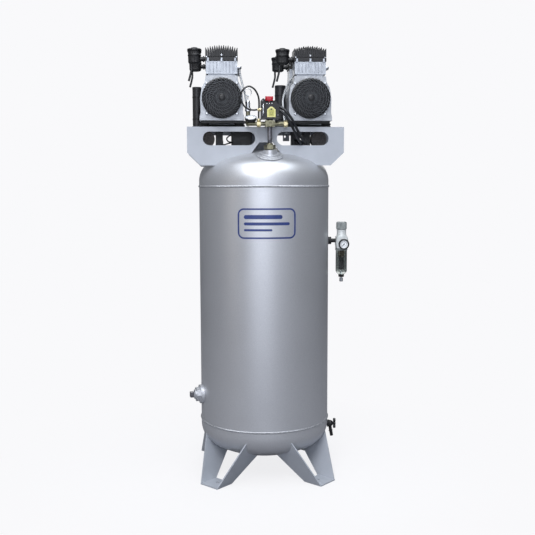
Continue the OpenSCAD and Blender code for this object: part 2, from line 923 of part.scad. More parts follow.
module safety_ring() {
    color([0.82, 0.82, 0.84])
    translate([relief_x, relief_y, arm_z + seat_h]) {
        translate([0, 0, 20]) cylinder(r = stem_r, h = 38);
        translate([0, 0, 70.5])
            rotate([90, 0, 0])
                rotate_extrude() translate([13, 0]) circle(r = 1.6);
    }
}

module at_gauge() {
    translate([gauge_x, -riser_y, arm_z]) rotate([gauge_tilt, 0, 0]) children();
}

module tank_gauge() {
    color([0.10, 0.10, 0.11])
    difference() {
        at_gauge()
            difference() {
                union() {
                    cylinder(r = 5, h = gauge_stem);
                    translate([0, 0, gauge_stem]) cylinder(r = gauge_r, h = gauge_depth);
                }
                translate([0, 0, gauge_stem + gauge_depth - 6])
                    cylinder(r = gauge_r - 2, h = 6 + eps);
            }
        manifold_arms();
    }
}

// Needle in the plane of a dial that faces +Z, at rest on zero, lower left
module needle(length) {
    color([0.05, 0.05, 0.05])
    rotate([0, 0, 45]) {
        cylinder(r = 2, h = 1.5);
        translate([-length, -0.6, 0]) cube([length + 4, 1.2, 1]);
    }
}

module tank_gauge_needle() {
    at_gauge() translate([0, 0, gauge_stem + gauge_depth - 5]) needle(15);
}

// Hand-picked route of the small loop from the unloader valve round to the left union
loop_route = [[-36, -190, 58], [-50, -194, 56], [-68, -196, 59], [-86, -197, 72],
    [-97, -197, 100], [-90, -197, 126], [-68, -197, 141], [-46, -195, 130],
    [-32, -190, 104], [-29, -180, 74], [-30, -173, 46], [-30, -172, 20]];

module loop_tube() {
    color([0.03, 0.03, 0.03])
    translate([0, 0, deck_top])
        tube(loop_route, loop_d, [0.02, 1, 0.01], 4, 10);
}

// Discharge hoses: from each crossover down to the unions behind the manifold
left_hose_route = [[-97, -100, 214], [-95, -100, 195], [-88, -101, 165], [-78, -103, 125],
    [-72, -104, 85], [-66, -105, 50], [-52, -114, 22], [-36, -132, 10], [-30, -150, 8]];
right_hose_route = [[226, 0, 221], [205, 0, 221], [165, 0, 214], [115, -8, 198],
    [88, -34, 160], [70, -72, 110], [68, -100, 66], [70, -120, 32], [70, -136, 12],
    [70, -150, 8]];

module discharge_hoses() {
    color([0.78, 0.79, 0.80])
    translate([0, 0, deck_top]) {
        tube(left_hose_route, hose_d, [0.9, 0.3, 0.3], 3, 10);
        tube(right_hose_route, hose_d, [0.3, 0.9, 0.2], 3, 10);
    }
}

// Motor cables: from the switch, over the deck's edge and in through the right slot
cable_route = [[44, -176, 68], [56, -184, 64], [74, -189, 48], [92, -187, 24],
    [108, -178, -4], [124, -160, -32], [140, -132, -52], [150, -95, -60], [152, -60, -58],
    [146, -20, -50], [138, 30, -42]];
cable_shift = [-10, -2, -7];

module power_cables() {
    color([0.04, 0.04, 0.05])
    translate([0, 0, deck_top])
        for (k = [0, 1])
            tube([for (i = [0 : len(cable_route) - 1])
                cable_route[i] + k * (i == 0 ? [0, 3, -14]
                    : i == len(cable_route) - 1 ? [-12, 0, 0] : cable_shift)],
                cable_d, [0.2, 0.3, 0.9], 3, 10);
}

// ---------------------------------------------------------------- filter regulator

module regulator_nipple() {
    color([0.42, 0.40, 0.34]) {
        difference() {
            translate([0, 0, reg_z]) rod_x(15, tank_r - 2, tank_r + 14);
            translate([0, 0, shell_base]) cylinder(r = tank_r, h = shell_len, $fn = 240);
            translate([0, 0, reg_z]) rod_x(5, tank_r - 4, tank_r + 16);
        }
        difference() {
            translate([0, 0, reg_z]) rod_x(8, tank_r + 14, reg_x - reg_body[0] / 2);
            translate([0, 0, reg_z]) rod_x(5, tank_r + 10, reg_x);
        }
    }
}

module regulator_body() {
    color([0.80, 0.81, 0.80])
    difference() {
        union() {
            translate([reg_x - reg_body[0] / 2, -reg_body[1] / 2, reg_floor])
                cube(reg_body);
            translate([reg_x, 0, reg_floor + reg_body[2]]) cylinder(r = 19, h = bonnet_h);
            translate([0, 0, reg_z])
                rod_x(11, reg_x, reg_x + reg_body[0] / 2 + 4);
        }
        translate([0, 0, reg_z]) rod_x(port_r, reg_x + 10, reg_x + 30);
    }
}

module regulator_knob() {
    z0 = reg_floor + reg_body[2] + bonnet_h + free_gap;
    color([0.50, 0.52, 0.52])
    translate([reg_x, 0, z0])
    difference() {
        cylinder(r = knob_r, h = knob_h);
        for (k = [0 : 23])
            rotate([0, 0, 15 * k])
                translate([knob_r, 0, 3]) cylinder(r = 1.2, h = knob_h - 8);
    }
}

module regulator_gauge() {
    color([0.06, 0.06, 0.07])
    translate([dial_x, 0, dial_z])
    difference() {
        union() {
            rod_y(dial_r, dial_y - dial_depth, dial_y);
            rod_y(5, dial_y, -reg_body[1] / 2);
        }
        rod_y(dial_r - 2, dial_y - dial_depth - eps, dial_y - dial_depth + 5);
    }
}

module regulator_needle() {
    translate([dial_x, dial_y - dial_depth + 4, dial_z])
        rotate([90, 0, 0]) needle(13);
}

module regulator_bowl() {
    wall = 2.5;
    r = bowl_d / 2;
    color([0.75, 0.80, 0.78, 0.5])
    translate([reg_x, 0, reg_floor - bowl_h])
    difference() {
        union() {
            translate([0, 0, 12]) cylinder(r = r, h = bowl_h - 12);
            cylinder(r1 = r - 12, r2 = r, h = 12);
            translate([0, 0, -10]) cylinder(r = 9, h = 12);
        }
        translate([0, 0, 12]) cylinder(r = r - wall, h = bowl_h);
        translate([0, 0, -10 - eps]) cylinder(r = 4 + run_gap, h = 30);
    }
}

module bowl_drain() {
    color([0.82, 0.83, 0.84])
    translate([reg_x, 0, reg_floor - bowl_h - 10]) {
        cylinder(r = 4, h = 24);
        translate([0, 0, -19]) cylinder(r = 7, h = 15);
        translate([0, 0, -4]) cylinder(r = 4, h = 4);
    }
}

// ---------------------------------------------------------------- side fittings

// Welded pad, hex bushing and square plug on the lower left side
module side_bung() {
    pad = 12;
    collar = 27;
    neck = 33;
    square = 20;
    color([0.82, 0.83, 0.84])
    at_bung()
    difference() {
        union() {
            rod_x(37, tank_r - 8, tank_r + pad);
            translate([tank_r + pad, 0, 0]) rotate([0, 90, 0])
                cylinder(r = 29, h = collar - pad, $fn = 8);
            rod_x(19, tank_r + collar, tank_r + neck);
            translate([tank_r + neck, -square / 2, -square / 2])
                cube([bung_reach - neck, square, square]);
        }
        translate([0, 0, shell_base - bung_z]) cylinder(r = tank_r, h = shell_len);
    }
}

module drain_valve() {
    color([0.06, 0.06, 0.07])
    difference() {
        union() {
            translate([0, 0, valve_z]) {
                rod_x(9, tank_r - 20, tank_r + 12);
                translate([valve_x, 0, 0]) sphere(r = valve_r);
            }
            translate([valve_x - 2, 0, valve_z])
                rotate([0, 170, 0]) cylinder(r = 6.5, h = 52);
        }
        bottom_head_trim();
        translate([0, 0, valve_z])
            rod_x(spindle_r + run_gap, valve_x, valve_x + valve_r + eps);
    }
}

// Butterfly handle, upright at rest, which turns about X
module drain_handle() {
    x0 = valve_x + valve_r + free_gap;
    color([0.05, 0.05, 0.06])
    translate([0, 0, valve_z]) {
        rod_x(spindle_r, valve_x + 2, x0 + 4);
        rod_x(7, x0, x0 + 9);
        translate([x0 + 1, -4, -14]) cube([7, 8, 28]);
        for (s = [LEFT, RIGHT])
            translate([0, 0, s * 14]) rod_x(6, x0 + 1, x0 + 8);
    }
}

// ---------------------------------------------------------------- assembly

tank_shell();
top_head();
bottom_head();
girth_welds();
leg(225);  // leg_front_left
leg(315);  // leg_front_right
leg(135);  // leg_rear_left
leg(45);  // leg_rear_right
deck();
port_boss();
port_reducer();
riser_pipe();
manifold();
tube_fittings();
switch_base();
switch_cover();
switch_knob();
unloader_valve();
safety_valve();
safety_ring();
tank_gauge();
tank_gauge_needle();
loop_tube();
discharge_hoses();
power_cables();
wiring_boxes();
rubber_mounts();
mount_rails();
mount_bolts();
silencers();
capacitors();
bearings();
stators();
guards();
crossovers();
filters();
crankcases(LEFT);  // left_crankcases
rotor(LEFT);  // left_rotor
fans(LEFT);  // left_fans
cylinders(LEFT);  // left_cylinders
cylinder_heads(LEFT);  // left_heads
piston(LEFT, -1);  // left_piston_front
piston(LEFT, 1);  // left_piston_rear
crankcases(RIGHT);  // right_crankcases
rotor(RIGHT);  // right_rotor
fans(RIGHT);  // right_fans
cylinders(RIGHT);  // right_cylinders
cylinder_heads(RIGHT);  // right_heads
piston(RIGHT, -1);  // right_piston_front
piston(RIGHT, 1);  // right_piston_rear
regulator_nipple();
regulator_body();
regulator_knob();
regulator_gauge();
regulator_needle();
regulator_bowl();
bowl_drain();
side_bung();
drain_valve();
drain_handle();
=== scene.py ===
"""Looks of a vertical workshop air compressor: every surface, finish, light and the camera.

Lengths are in millimetres and are turned to metres where a mesh is made. Places and sizes come
from the CAD nodes' boxes.
"""
import math

import bmesh
import bpy
import numpy as np
from mathutils import Matrix, Vector


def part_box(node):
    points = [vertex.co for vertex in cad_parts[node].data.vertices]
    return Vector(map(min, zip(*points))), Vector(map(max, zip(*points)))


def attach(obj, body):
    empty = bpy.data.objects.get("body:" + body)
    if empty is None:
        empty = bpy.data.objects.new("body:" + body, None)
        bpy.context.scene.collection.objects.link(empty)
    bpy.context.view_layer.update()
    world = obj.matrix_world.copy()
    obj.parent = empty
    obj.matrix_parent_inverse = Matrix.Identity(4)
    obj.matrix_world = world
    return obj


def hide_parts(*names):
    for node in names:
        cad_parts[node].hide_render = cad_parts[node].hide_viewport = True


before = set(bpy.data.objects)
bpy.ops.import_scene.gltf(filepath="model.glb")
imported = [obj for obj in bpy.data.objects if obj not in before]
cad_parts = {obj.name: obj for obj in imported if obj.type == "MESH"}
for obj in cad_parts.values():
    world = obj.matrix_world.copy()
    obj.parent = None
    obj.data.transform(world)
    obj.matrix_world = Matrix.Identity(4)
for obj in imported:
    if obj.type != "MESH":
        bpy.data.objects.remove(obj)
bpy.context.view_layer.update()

MM = 0.001
TAU = 2 * math.pi


# ---------------------------------------------------------------- sizes, from the CAD boxes


def box_mm(node):
    """Lowest and highest corner of a CAD node, in millimetres."""
    low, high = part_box(node)
    return np.array(low) / MM, np.array(high) / MM


TANK_R = box_mm("tank_shell")[1][0]
SHELL_LOW, SHELL_HIGH = box_mm("tank_shell")[0][2], box_mm("tank_shell")[1][2]
HEAD_FLANGE = 20.0
BADGE_Z = 997.0
CROWN_R = 0.904 * 2 * TANK_R
KNUCKLE_R = 0.173 * 2 * TANK_R
KNUCKLE_X = TANK_R - KNUCKLE_R
CROWN_DROP = math.sqrt((CROWN_R - KNUCKLE_R) ** 2 - KNUCKLE_X**2)
TANGENT_LOW, TANGENT_HIGH = SHELL_LOW - HEAD_FLANGE, SHELL_HIGH + HEAD_FLANGE
DECK_TOP = box_mm("deck")[1][2]
ROTOR_LOW, ROTOR_HIGH = box_mm("right_rotor")
PUMP_X = (ROTOR_LOW[0] + ROTOR_HIGH[0]) / 2
SHAFT_Z = (ROTOR_LOW[2] + ROTOR_HIGH[2]) / 2
CASE_OUT = box_mm("left_crankcases")[1][1]
GUARD_HIGH = box_mm("guards")[1]
GUARD_R = GUARD_HIGH[0] - PUMP_X
GUARD_DEPTH = GUARD_HIGH[1] - CASE_OUT
HEAD_LOW, HEAD_HIGH = box_mm("right_heads")
HEAD_W = HEAD_HIGH[0] - HEAD_LOW[0]
CYL_Y = 100.0
HEAD_D = 2 * (HEAD_HIGH[1] - CYL_Y)
FILTER_HIGH = box_mm("filters")[1]
BOSS_HIGH = box_mm("port_boss")[1]
RISER_LOW, RISER_HIGH = box_mm("riser_pipe")
RISER = (RISER_LOW + RISER_HIGH) / 2
SWITCH_LOW, SWITCH_HIGH = box_mm("switch_cover")
REG_LOW, REG_HIGH = box_mm("regulator_bowl")
REG_X = (REG_LOW[0] + REG_HIGH[0]) / 2
BODY_LOW, BODY_HIGH = box_mm("regulator_body")
PUMPS = ((-1, "left"), (1, "right"))
ENDS = ((-1, "front"), (1, "rear"))


# ---------------------------------------------------------------- surfaces


def turn(axis, degrees):
    """3 x 3 turning matrix about an axis."""
    return np.array(Matrix.Rotation(math.radians(degrees), 3, axis))


def grid_faces(rows, cols, closed_rows=False):
    """Quads of a grid of points stored row by row; the columns always close on themselves."""
    r = np.arange(rows if closed_rows else rows - 1)[:, None]
    c = np.arange(cols)[None, :]
    nr, nc = (r + 1) % rows, (c + 1) % cols
    quads = np.stack([r * cols + c, r * cols + nc, nr * cols + nc, nr * cols + c], -1)
    return quads.reshape(-1, 4).tolist()


def revolve(profile, segments=96, closed=False):
    """Each profile point (r, h) turned about Z: (r cos a, r sin a, h)."""
    p = np.array(profile, float)
    a = np.arange(segments) * TAU / segments
    v = np.stack([np.outer(p[:, 0], np.cos(a)), np.outer(p[:, 0], np.sin(a)),
                  np.repeat(p[:, 1:2], segments, 1)], -1)
    return v.reshape(-1, 3), grid_faces(len(p), segments, closed)


def fluted(profile, flutes, depth, segments=None):
    """A turned shape whose radius dips by depth, flutes times a turn, as the cosine of the angle."""
    p = np.array(profile, float)
    n = segments or flutes * 8
    a = np.arange(n) * TAU / n
    cut = depth * (0.5 - 0.5 * np.cos(flutes * a))
    amount = p[:, 2] if p.shape[1] > 2 else np.ones(len(p))
    r = p[:, 0][:, None] - amount[:, None] * cut[None, :]
    v = np.stack([r * np.cos(a), r * np.sin(a), np.repeat(p[:, 1:2], n, 1)], -1)
    return v.reshape(-1, 3), grid_faces(len(p), n)


def hexagonal(r, h, sides=6, chamfer=0.93):
    """Nut or bolt head: the smaller of a polygon's radius and a chamfer cone's, at four heights."""
    n = sides * 12
    a = np.arange(n) * TAU / n
    half = math.pi / sides
    polygon = r * math.cos(half) / np.cos((a % (2 * half)) - half)
    tip = chamfer * r
    levels = [(0.0, 0.0), (0.0, tip), ((r - tip) * 0.7, r), (h - (r - tip) * 0.7, r), (h, tip), (h, 0.0)]
    v = np.array([np.stack([np.minimum(polygon, lim) * np.cos(a), np.minimum(polygon, lim) * np.sin(a),
                            np.full(n, z)], -1) for z, lim in levels])
    return v.reshape(-1, 3), grid_faces(len(levels), n)


def block(size, centre=(0, 0, 0)):
    """Box with its faces outwards."""
    s, c = np.array(size) / 2, np.array(centre)
    v = np.array([[x, y, z] for z in (-1, 1) for y in (-1, 1) for x in (-1, 1)]) * s + c
    return v, [[0, 2, 3, 1], [4, 5, 7, 6], [0, 1, 5, 4], [2, 6, 7, 3], [0, 4, 6, 2], [1, 3, 7, 5]]


def prism(outline, h):
    """Outline in the XY plane, raised along Z."""
    p = np.array(outline, float)
    n = len(p)
    v = np.concatenate([np.c_[p, np.zeros(n)], np.c_[p, np.full(n, h)]])
    sides = [[i, (i + 1) % n, n + (i + 1) % n, n + i] for i in range(n)]
    return v, [list(range(n))[::-1], list(range(n, 2 * n))] + sides


def smooth_path(points, per_span=8):
    """Catmull-Rom curve through the points."""
    p = np.array(points, float)
    q = np.concatenate([p[:1], p, p[-1:]])
    t = (np.arange(per_span) / per_span)[None, :, None]
    a, b, c, d = (q[i:len(q) - 3 + i][:, None, :] for i in range(4))
    curve = 0.5 * (2 * b + (c - a) * t + (2 * a - 5 * b + 4 * c - d) * t**2
                   + (3 * b - a - 3 * c + d) * t**3)
    return np.concatenate([curve.reshape(-1, 3), p[-1:]])


def frames_along(path, up=(0, 0, 1)):
    """Tangent, side and rise of a path, the side carried along so that it never twists."""
    t = np.gradient(path, axis=0)
    t /= np.linalg.norm(t, axis=1)[:, None]
    side = np.cross(t[0], up)
    if np.linalg.norm(side) < 1e-3:
        side = np.cross(t[0], (1.0, 0.0, 0.0))
    sides = []
    for direction in t:
        side = side - direction * (side @ direction)
        side /= np.linalg.norm(side)
        sides.append(side)
    s = np.array(sides)
    return t, s, np.cross(t, s)


def sweep(path, radius, sides=16, section=None, closed=False):
    """A round or given section carried along a path, closed with a cap at each end."""
    p = np.array(path, float)
    _, s, b = frames_along(p)
    if section is None:
        a = np.arange(sides) * TAU / sides
        section = np.stack([np.cos(a), np.sin(a)], -1) * radius
    sec = np.array(section, float)
    v = p[:, None, :] + sec[None, :, 0:1] * s[:, None, :] + sec[None, :, 1:2] * b[:, None, :]
    n, k = len(p), len(sec)
    faces = grid_faces(n, k, closed)
    if not closed:
        faces += [list(range(k))[::-1], [(n - 1) * k + i for i in range(k)]]
    return v.reshape(-1, 3), faces


def torus(ring_r, tube_r, segments=72, sides=16):
    """Ring about Z."""
    a = np.arange(sides) * TAU / sides
    return revolve(np.stack([ring_r + tube_r * np.cos(a), tube_r * np.sin(a)], -1), segments, True)


def rounded(r, h, edge=1.0, base=0.0, steps=4):
    """Profile of a turned disc or drum from height base, with both outer edges rounded."""
    a = np.linspace(0, math.pi / 2, steps + 1)
    low = [(r - edge + edge * math.sin(t), base + edge - edge * math.cos(t)) for t in a]
    high = [(r - edge + edge * math.cos(t), base + h - edge + edge * math.sin(t)) for t in a]
    return [(0, base)] + low + high + [(0, base + h)]


# ---------------------------------------------------------------- pieces


class Piece:
    """Surfaces gathered in millimetres and made one mesh that rides on a body."""

    def __init__(self):
        self.points, self.faces, self.count = [], [], 0

    def add(self, surface, at=(0, 0, 0), turned=None):
        v, f = surface
        v = np.array(v, float)
        flip = False
        if turned is not None:
            v = v @ np.array(turned).T
            flip = np.linalg.det(np.array(turned)) < 0
        self.points.append(v + np.array(at, float))
        self.faces += [[i + self.count for i in (face[::-1] if flip else face)] for face in f]
        self.count += len(v)
        return self

    def make(self, name, finish, slot, body="root", nodes=(), sharp=32, bevel=0, recalc=True):
        mesh = bpy.data.meshes.new(name)
        mesh.from_pydata((np.concatenate(self.points) * MM).tolist(), [], self.faces)
        work = bmesh.new()
        work.from_mesh(mesh)
        bmesh.ops.remove_doubles(work, verts=work.verts, dist=1e-7)
        if recalc:
            bmesh.ops.recalc_face_normals(work, faces=work.faces)
        work.to_mesh(mesh)
        work.free()
        return settle(mesh, name, finish, body, nodes, sharp, bevel)


def settle(mesh, name, finish, body, nodes, sharp, bevel):
    """Gives a finished mesh its shading, finish and body."""
    mesh.shade_smooth()
    mesh.set_sharp_from_angle(angle=math.radians(sharp))
    piece = bpy.data.objects.new(name, mesh)
    bpy.context.scene.collection.objects.link(piece)
    mesh.materials.clear()
    mesh.materials.append(finish)
    if bevel:
        edge = piece.modifiers.new("rounded edges", "BEVEL")
        edge.width = bevel * MM
        edge.segments = 2
        edge.limit_method = "ANGLE"
        edge.angle_limit = math.radians(sharp)
        edge.harden_normals = True
    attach(piece, body)
    if nodes:
        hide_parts(*([nodes] if isinstance(nodes, str) else nodes))
    return piece


def refined(node, finish, bevel=0.8, body="root", sharp=32):
    """A copy of a CAD node with its flat triangles joined and its edges rounded."""
    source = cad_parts[node].data
    work = bmesh.new()
    work.from_mesh(source)
    bmesh.ops.remove_doubles(work, verts=work.verts, dist=2e-6)
    bmesh.ops.dissolve_limit(work, angle_limit=math.radians(0.5), verts=work.verts, edges=work.edges)
    mesh = bpy.data.meshes.new(node + "_shape")
    plain = bpy.data.meshes.new(node + "_plain")
    work.to_mesh(mesh)
    plain.from_pydata([v.co[:] for v in mesh.vertices], [], [list(p.vertices) for p in mesh.polygons])
    work.free()
    return settle(plain, node + "_finished", finish, body, node, sharp, bevel)


# ---------------------------------------------------------------- finishes


def linear(hex_colour):
    """sRGB hex to linear RGBA."""
    c = np.array([int(hex_colour[i:i + 2], 16) for i in (1, 3, 5)]) / 255
    c = np.where(c <= 0.04045, c / 12.92, ((c + 0.055) / 1.055) ** 2.4)
    return (*c.tolist(), 1.0)


def add(tree, kind, settings=None, inputs=None):
    """Adds a node, sets its properties, and sets or links its inputs."""
    node = tree.nodes.new(kind)
    for key, value in (settings or {}).items():
        setattr(node, key, value)
    for key, value in (inputs or {}).items():
        if isinstance(value, bpy.types.NodeSocket):
            tree.links.new(value, node.inputs[key])
        else:
            node.inputs[key].default_value = value
    return node


def finish_named(name, **constants):
    """A material with a Principled shader, whose even values are set on its own sockets."""
    material = bpy.data.materials.new(name)
    material.use_nodes = True
    tree = material.node_tree
    tree.nodes.clear()
    shader = add(tree, "ShaderNodeBsdfPrincipled")
    for key, value in constants.items():
        shader.inputs[key.replace("_", " ")].default_value = value
    output = add(tree, "ShaderNodeOutputMaterial")
    tree.links.new(shader.outputs["BSDF"], output.inputs["Surface"])
    place = add(tree, "ShaderNodeTexCoord").outputs["Object"]
    return material, tree, shader, place


def noise(tree, place, size_mm, detail=3.0, stretch=None):
    """Noise whose lumps measure size_mm; stretch scales each axis of the pattern."""
    if stretch:
        place = add(tree, "ShaderNodeMapping", None, {"Vector": place, "Scale": stretch}).outputs["Vector"]
    scale = 1 / (size_mm * MM)
    return add(tree, "ShaderNodeTexNoise", None,
               {"Vector": place, "Scale": scale, "Detail": detail}).outputs["Fac"]


def ranged(tree, value, low, high, from_low=0.3, from_high=0.7):
    """A pattern's value stretched between two levels."""
    return add(tree, "ShaderNodeMapRange", None,
               {"Value": value, "From Min": from_low, "From Max": from_high,
                "To Min": low, "To Max": high}).outputs["Result"]


def mottled(tree, shader, value, dark, light):
    """Base colour between two hex colours, by a pattern."""
    ramp = add(tree, "ShaderNodeValToRGB", None, {"Fac": value})
    ramp.color_ramp.elements[0].position, ramp.color_ramp.elements[1].position = 0.3, 0.7
    ramp.color_ramp.elements[0].color = linear(dark)
    ramp.color_ramp.elements[1].color = linear(light)
    tree.links.new(ramp.outputs["Color"], shader.inputs["Base Color"])


def roughened(tree, shader, value, low, high):
    """Roughness between two levels, by a pattern."""
    tree.links.new(ranged(tree, value, low, high), shader.inputs["Roughness"])


def textured(tree, shader, value, height_mm, strength=1.0):
    """Relief of a pattern, height_mm from low to high."""
    bump = add(tree, "ShaderNodeBump", None,
               {"Height": value, "Distance": height_mm * MM, "Strength": strength})
    tree.links.new(bump.outputs["Normal"], shader.inputs["Normal"])


def silver_paint():
    """Sprayed metallic silver enamel: fine aluminium flake in a satin coat with a faint orange peel."""
    m, tree, shader, place = finish_named("sprayed_silver_enamel", Metallic=0.72, Coat_Weight=0.18,
                                          Coat_Roughness=0.28)
    flake = noise(tree, place, 1.6, 2)
    cloud = noise(tree, place, 130, 3)
    mottled(tree, shader, flake, "#BEC0C5", "#D0D2D6")
    roughened(tree, shader, cloud, 0.40, 0.46)
    textured(tree, shader, noise(tree, place, 7, 2), 0.10)
    return m


def weld_silver():
    """Weld metal under the same enamel: lumpy, with a painted highlight on its crests and painted shade in
    the dips, from the pattern that also gives the relief.
    """
    m, tree, shader, place = finish_named("silver_enamel_on_weld", Metallic=0.7)
    lumps = noise(tree, place, 5, 3)
    # painted light: the colour follows the relief, lighter on the crests as a painted highlight and darker in
    # the dips as painted shade
    mottled(tree, shader, lumps, "#9FA2A7", "#D2D4D7")
    roughened(tree, shader, lumps, 0.30, 0.46)
    textured(tree, shader, lumps, 0.5)
    return m


def grey_powder_coat():
    """Light blue-grey powder coat: a satin plastic skin with a fine pebble."""
    m, tree, shader, place = finish_named("blue_grey_powder_coat", Metallic=0.0, Coat_Weight=0.12,
                                          Coat_Roughness=0.3)
    pebble = noise(tree, place, 2.2, 2)
    mottled(tree, shader, noise(tree, place, 90, 4), "#A7ACB4", "#B1B6BE")
    roughened(tree, shader, pebble, 0.36, 0.48)
    textured(tree, shader, pebble, 0.08)
    return m


def cast_aluminium():
    """Die-cast aluminium, bead blasted: fine matt grain with cloudy flow marks."""
    m, tree, shader, place = finish_named("die_cast_aluminium", Metallic=0.82)
    grain = noise(tree, place, 1.4, 3)
    mottled(tree, shader, noise(tree, place, 28, 4), "#93969A", "#B7BABE")
    roughened(tree, shader, grain, 0.36, 0.52)
    textured(tree, shader, grain, 0.18)
    return m


def bright_casting():
    """Clear-lacquered aluminium casting of the barrels: nearly white, finely grained."""
    m, tree, shader, place = finish_named("lacquered_white_aluminium", Metallic=0.45, Coat_Weight=0.15,
                                          Coat_Roughness=0.25)
    grain = noise(tree, place, 1.2, 3)
    mottled(tree, shader, noise(tree, place, 22, 3), "#A4A9B1", "#BDC2C9")
    roughened(tree, shader, grain, 0.34, 0.48)
    textured(tree, shader, grain, 0.12)
    return m


def black_casting():
    """Aluminium heads in black stove enamel: satin, dusty in the hollows."""
    m, tree, shader, place = finish_named("black_stove_enamel", Metallic=0.0, Coat_Weight=0.05,
                                          Coat_Roughness=0.4)
    grain = noise(tree, place, 1.5, 3)
    mottled(tree, shader, noise(tree, place, 18, 4), "#0A0A0C", "#151518")
    roughened(tree, shader, grain, 0.38, 0.55)
    textured(tree, shader, grain, 0.15)
    return m


def moulded_black():
    """Glass-filled nylon, spark-eroded mould: dull black with a fine leathery grain."""
    m, tree, shader, place = finish_named("moulded_black_nylon", Metallic=0.0)
    grain = noise(tree, place, 1.1, 2)
    mottled(tree, shader, noise(tree, place, 24, 3), "#0E0E10", "#1A1A1D")
    roughened(tree, shader, grain, 0.36, 0.52)
    textured(tree, shader, grain, 0.10)
    return m


def guard_black():
    """Guard vanes in polished black nylon, coloured mid grey as a painted highlight so that they show as grey
    lines against the rims of the same black nylon.
    """
    m, tree, shader, place = finish_named("black_nylon_with_painted_highlight", Metallic=0.0, Coat_Weight=0.35,
                                          Coat_Roughness=0.2)
    dust_and_painted_highlight = noise(tree, place, 16, 4)
    # the two greys are a painted highlight: the vanes are the same black nylon as the rims
    mottled(tree, shader, dust_and_painted_highlight, "#313337", "#4B4E52")
    roughened(tree, shader, dust_and_painted_highlight, 0.30, 0.42)
    textured(tree, shader, noise(tree, place, 1.1, 2), 0.05)
    return m


def dusty_drum():
    """Pressed drum in worn grey-brown paint: chalky and uneven."""
    m, tree, shader, place = finish_named("dusty_grey_paint", Metallic=0.0)
    chalk = noise(tree, place, 7, 5)
    mottled(tree, shader, chalk, "#55504D", "#7D7875")
    roughened(tree, shader, chalk, 0.45, 0.65)
    textured(tree, shader, chalk, 0.12)
    return m


def galvanised_pipe():
    """Dull galvanised pipe: dark grey with a cloudy spangle."""
    m, tree, shader, place = finish_named("dull_galvanised_steel", Metallic=0.8)
    spangle = noise(tree, place, 5, 4)
    mottled(tree, shader, spangle, "#5F5E63", "#86868B")
    roughened(tree, shader, spangle, 0.36, 0.52)
    textured(tree, shader, spangle, 0.08)
    return m


def dark_plastic():
    """Phenolic and ABS mouldings in very dark grey, slightly scuffed."""
    m, tree, shader, place = finish_named("dark_grey_abs", Metallic=0.0)
    scuff = noise(tree, place, 9, 5)
    mottled(tree, shader, scuff, "#1C1C1E", "#29292C")
    roughened(tree, shader, scuff, 0.34, 0.55)
    textured(tree, shader, noise(tree, place, 1.0, 2), 0.06)
    return m


def glossy_red():
    """Polished red ABS knob: even colour, faint flow lines."""
    m, tree, shader, place = finish_named("red_abs", Metallic=0.0, Coat_Weight=0.4, Coat_Roughness=0.12)
    flow = noise(tree, place, 6, 3, (1, 1, 0.3))
    mottled(tree, shader, flow, "#9C1224", "#BE1C30")
    roughened(tree, shader, flow, 0.22, 0.34)
    textured(tree, shader, flow, 0.05)
    return m


def turned_brass():
    """Turned brass fittings: fine lathe rings, warm and lightly tarnished."""
    m, tree, shader, place = finish_named("turned_brass", Metallic=1.0)
    stain = noise(tree, place, 8, 4)
    mottled(tree, shader, stain, "#A2946A", "#DDD3AE")
    roughened(tree, shader, stain, 0.22, 0.38)
    textured(tree, shader, noise(tree, place, 0.8, 2), 0.04)
    return m


def olive_zinc():
    """Zinc plate with a yellow-olive passivation that pools darker in the hollows."""
    m, tree, shader, place = finish_named("olive_passivated_zinc", Metallic=0.85)
    stain = noise(tree, place, 14, 5)
    mottled(tree, shader, stain, "#5C5A48", "#96937C")
    roughened(tree, shader, stain, 0.30, 0.46)
    textured(tree, shader, noise(tree, place, 1.5, 3), 0.10)
    return m


def plated_steel():
    """Bright zinc-plated steel: clean, cool grey, finely brushed."""
    m, tree, shader, place = finish_named("bright_zinc_plate", Metallic=1.0)
    stain = noise(tree, place, 6, 3)
    mottled(tree, shader, stain, "#B4B7BB", "#D5D7DA")
    roughened(tree, shader, stain, 0.20, 0.34)
    textured(tree, shader, noise(tree, place, 0.9, 2), 0.03)
    return m


def black_oxide():
    """Black painted steel rails: satin, with rubbed spots."""
    m, tree, shader, place = finish_named("black_painted_steel", Metallic=0.2)
    rub = noise(tree, place, 11, 5)
    mottled(tree, shader, rub, "#131314", "#232325")
    roughened(tree, shader, rub, 0.34, 0.52)
    textured(tree, shader, noise(tree, place, 1.6, 2), 0.06)
    return m


def soft_rubber():
    """Moulded black rubber: matt, faintly bloomed."""
    m, tree, shader, place = finish_named("moulded_rubber", Metallic=0.0)
    bloom = noise(tree, place, 12, 4)
    mottled(tree, shader, bloom, "#121212", "#1F1F20")
    roughened(tree, shader, bloom, 0.62, 0.78)
    textured(tree, shader, noise(tree, place, 0.9, 2), 0.06)
    return m


def nylon_tube():
    """Extruded black nylon tube: glossy, with a long faint draw line."""
    m, tree, shader, place = finish_named("extruded_black_nylon", Metallic=0.0, Coat_Weight=0.3,
                                          Coat_Roughness=0.15)
    draw = noise(tree, place, 9, 2)
    mottled(tree, shader, draw, "#0B0B0D", "#161618")
    roughened(tree, shader, draw, 0.22, 0.32)
    textured(tree, shader, draw, 0.05)
    return m


def pvc_sheath():
    """Black PVC cable sheath: satin, slightly wavy over the cores inside."""
    m, tree, shader, place = finish_named("pvc_cable_sheath", Metallic=0.0)
    wave = noise(tree, place, 14, 2)
    mottled(tree, shader, wave, "#131418", "#1F2127")
    roughened(tree, shader, wave, 0.34, 0.46)
    textured(tree, shader, wave, 0.25)
    return m


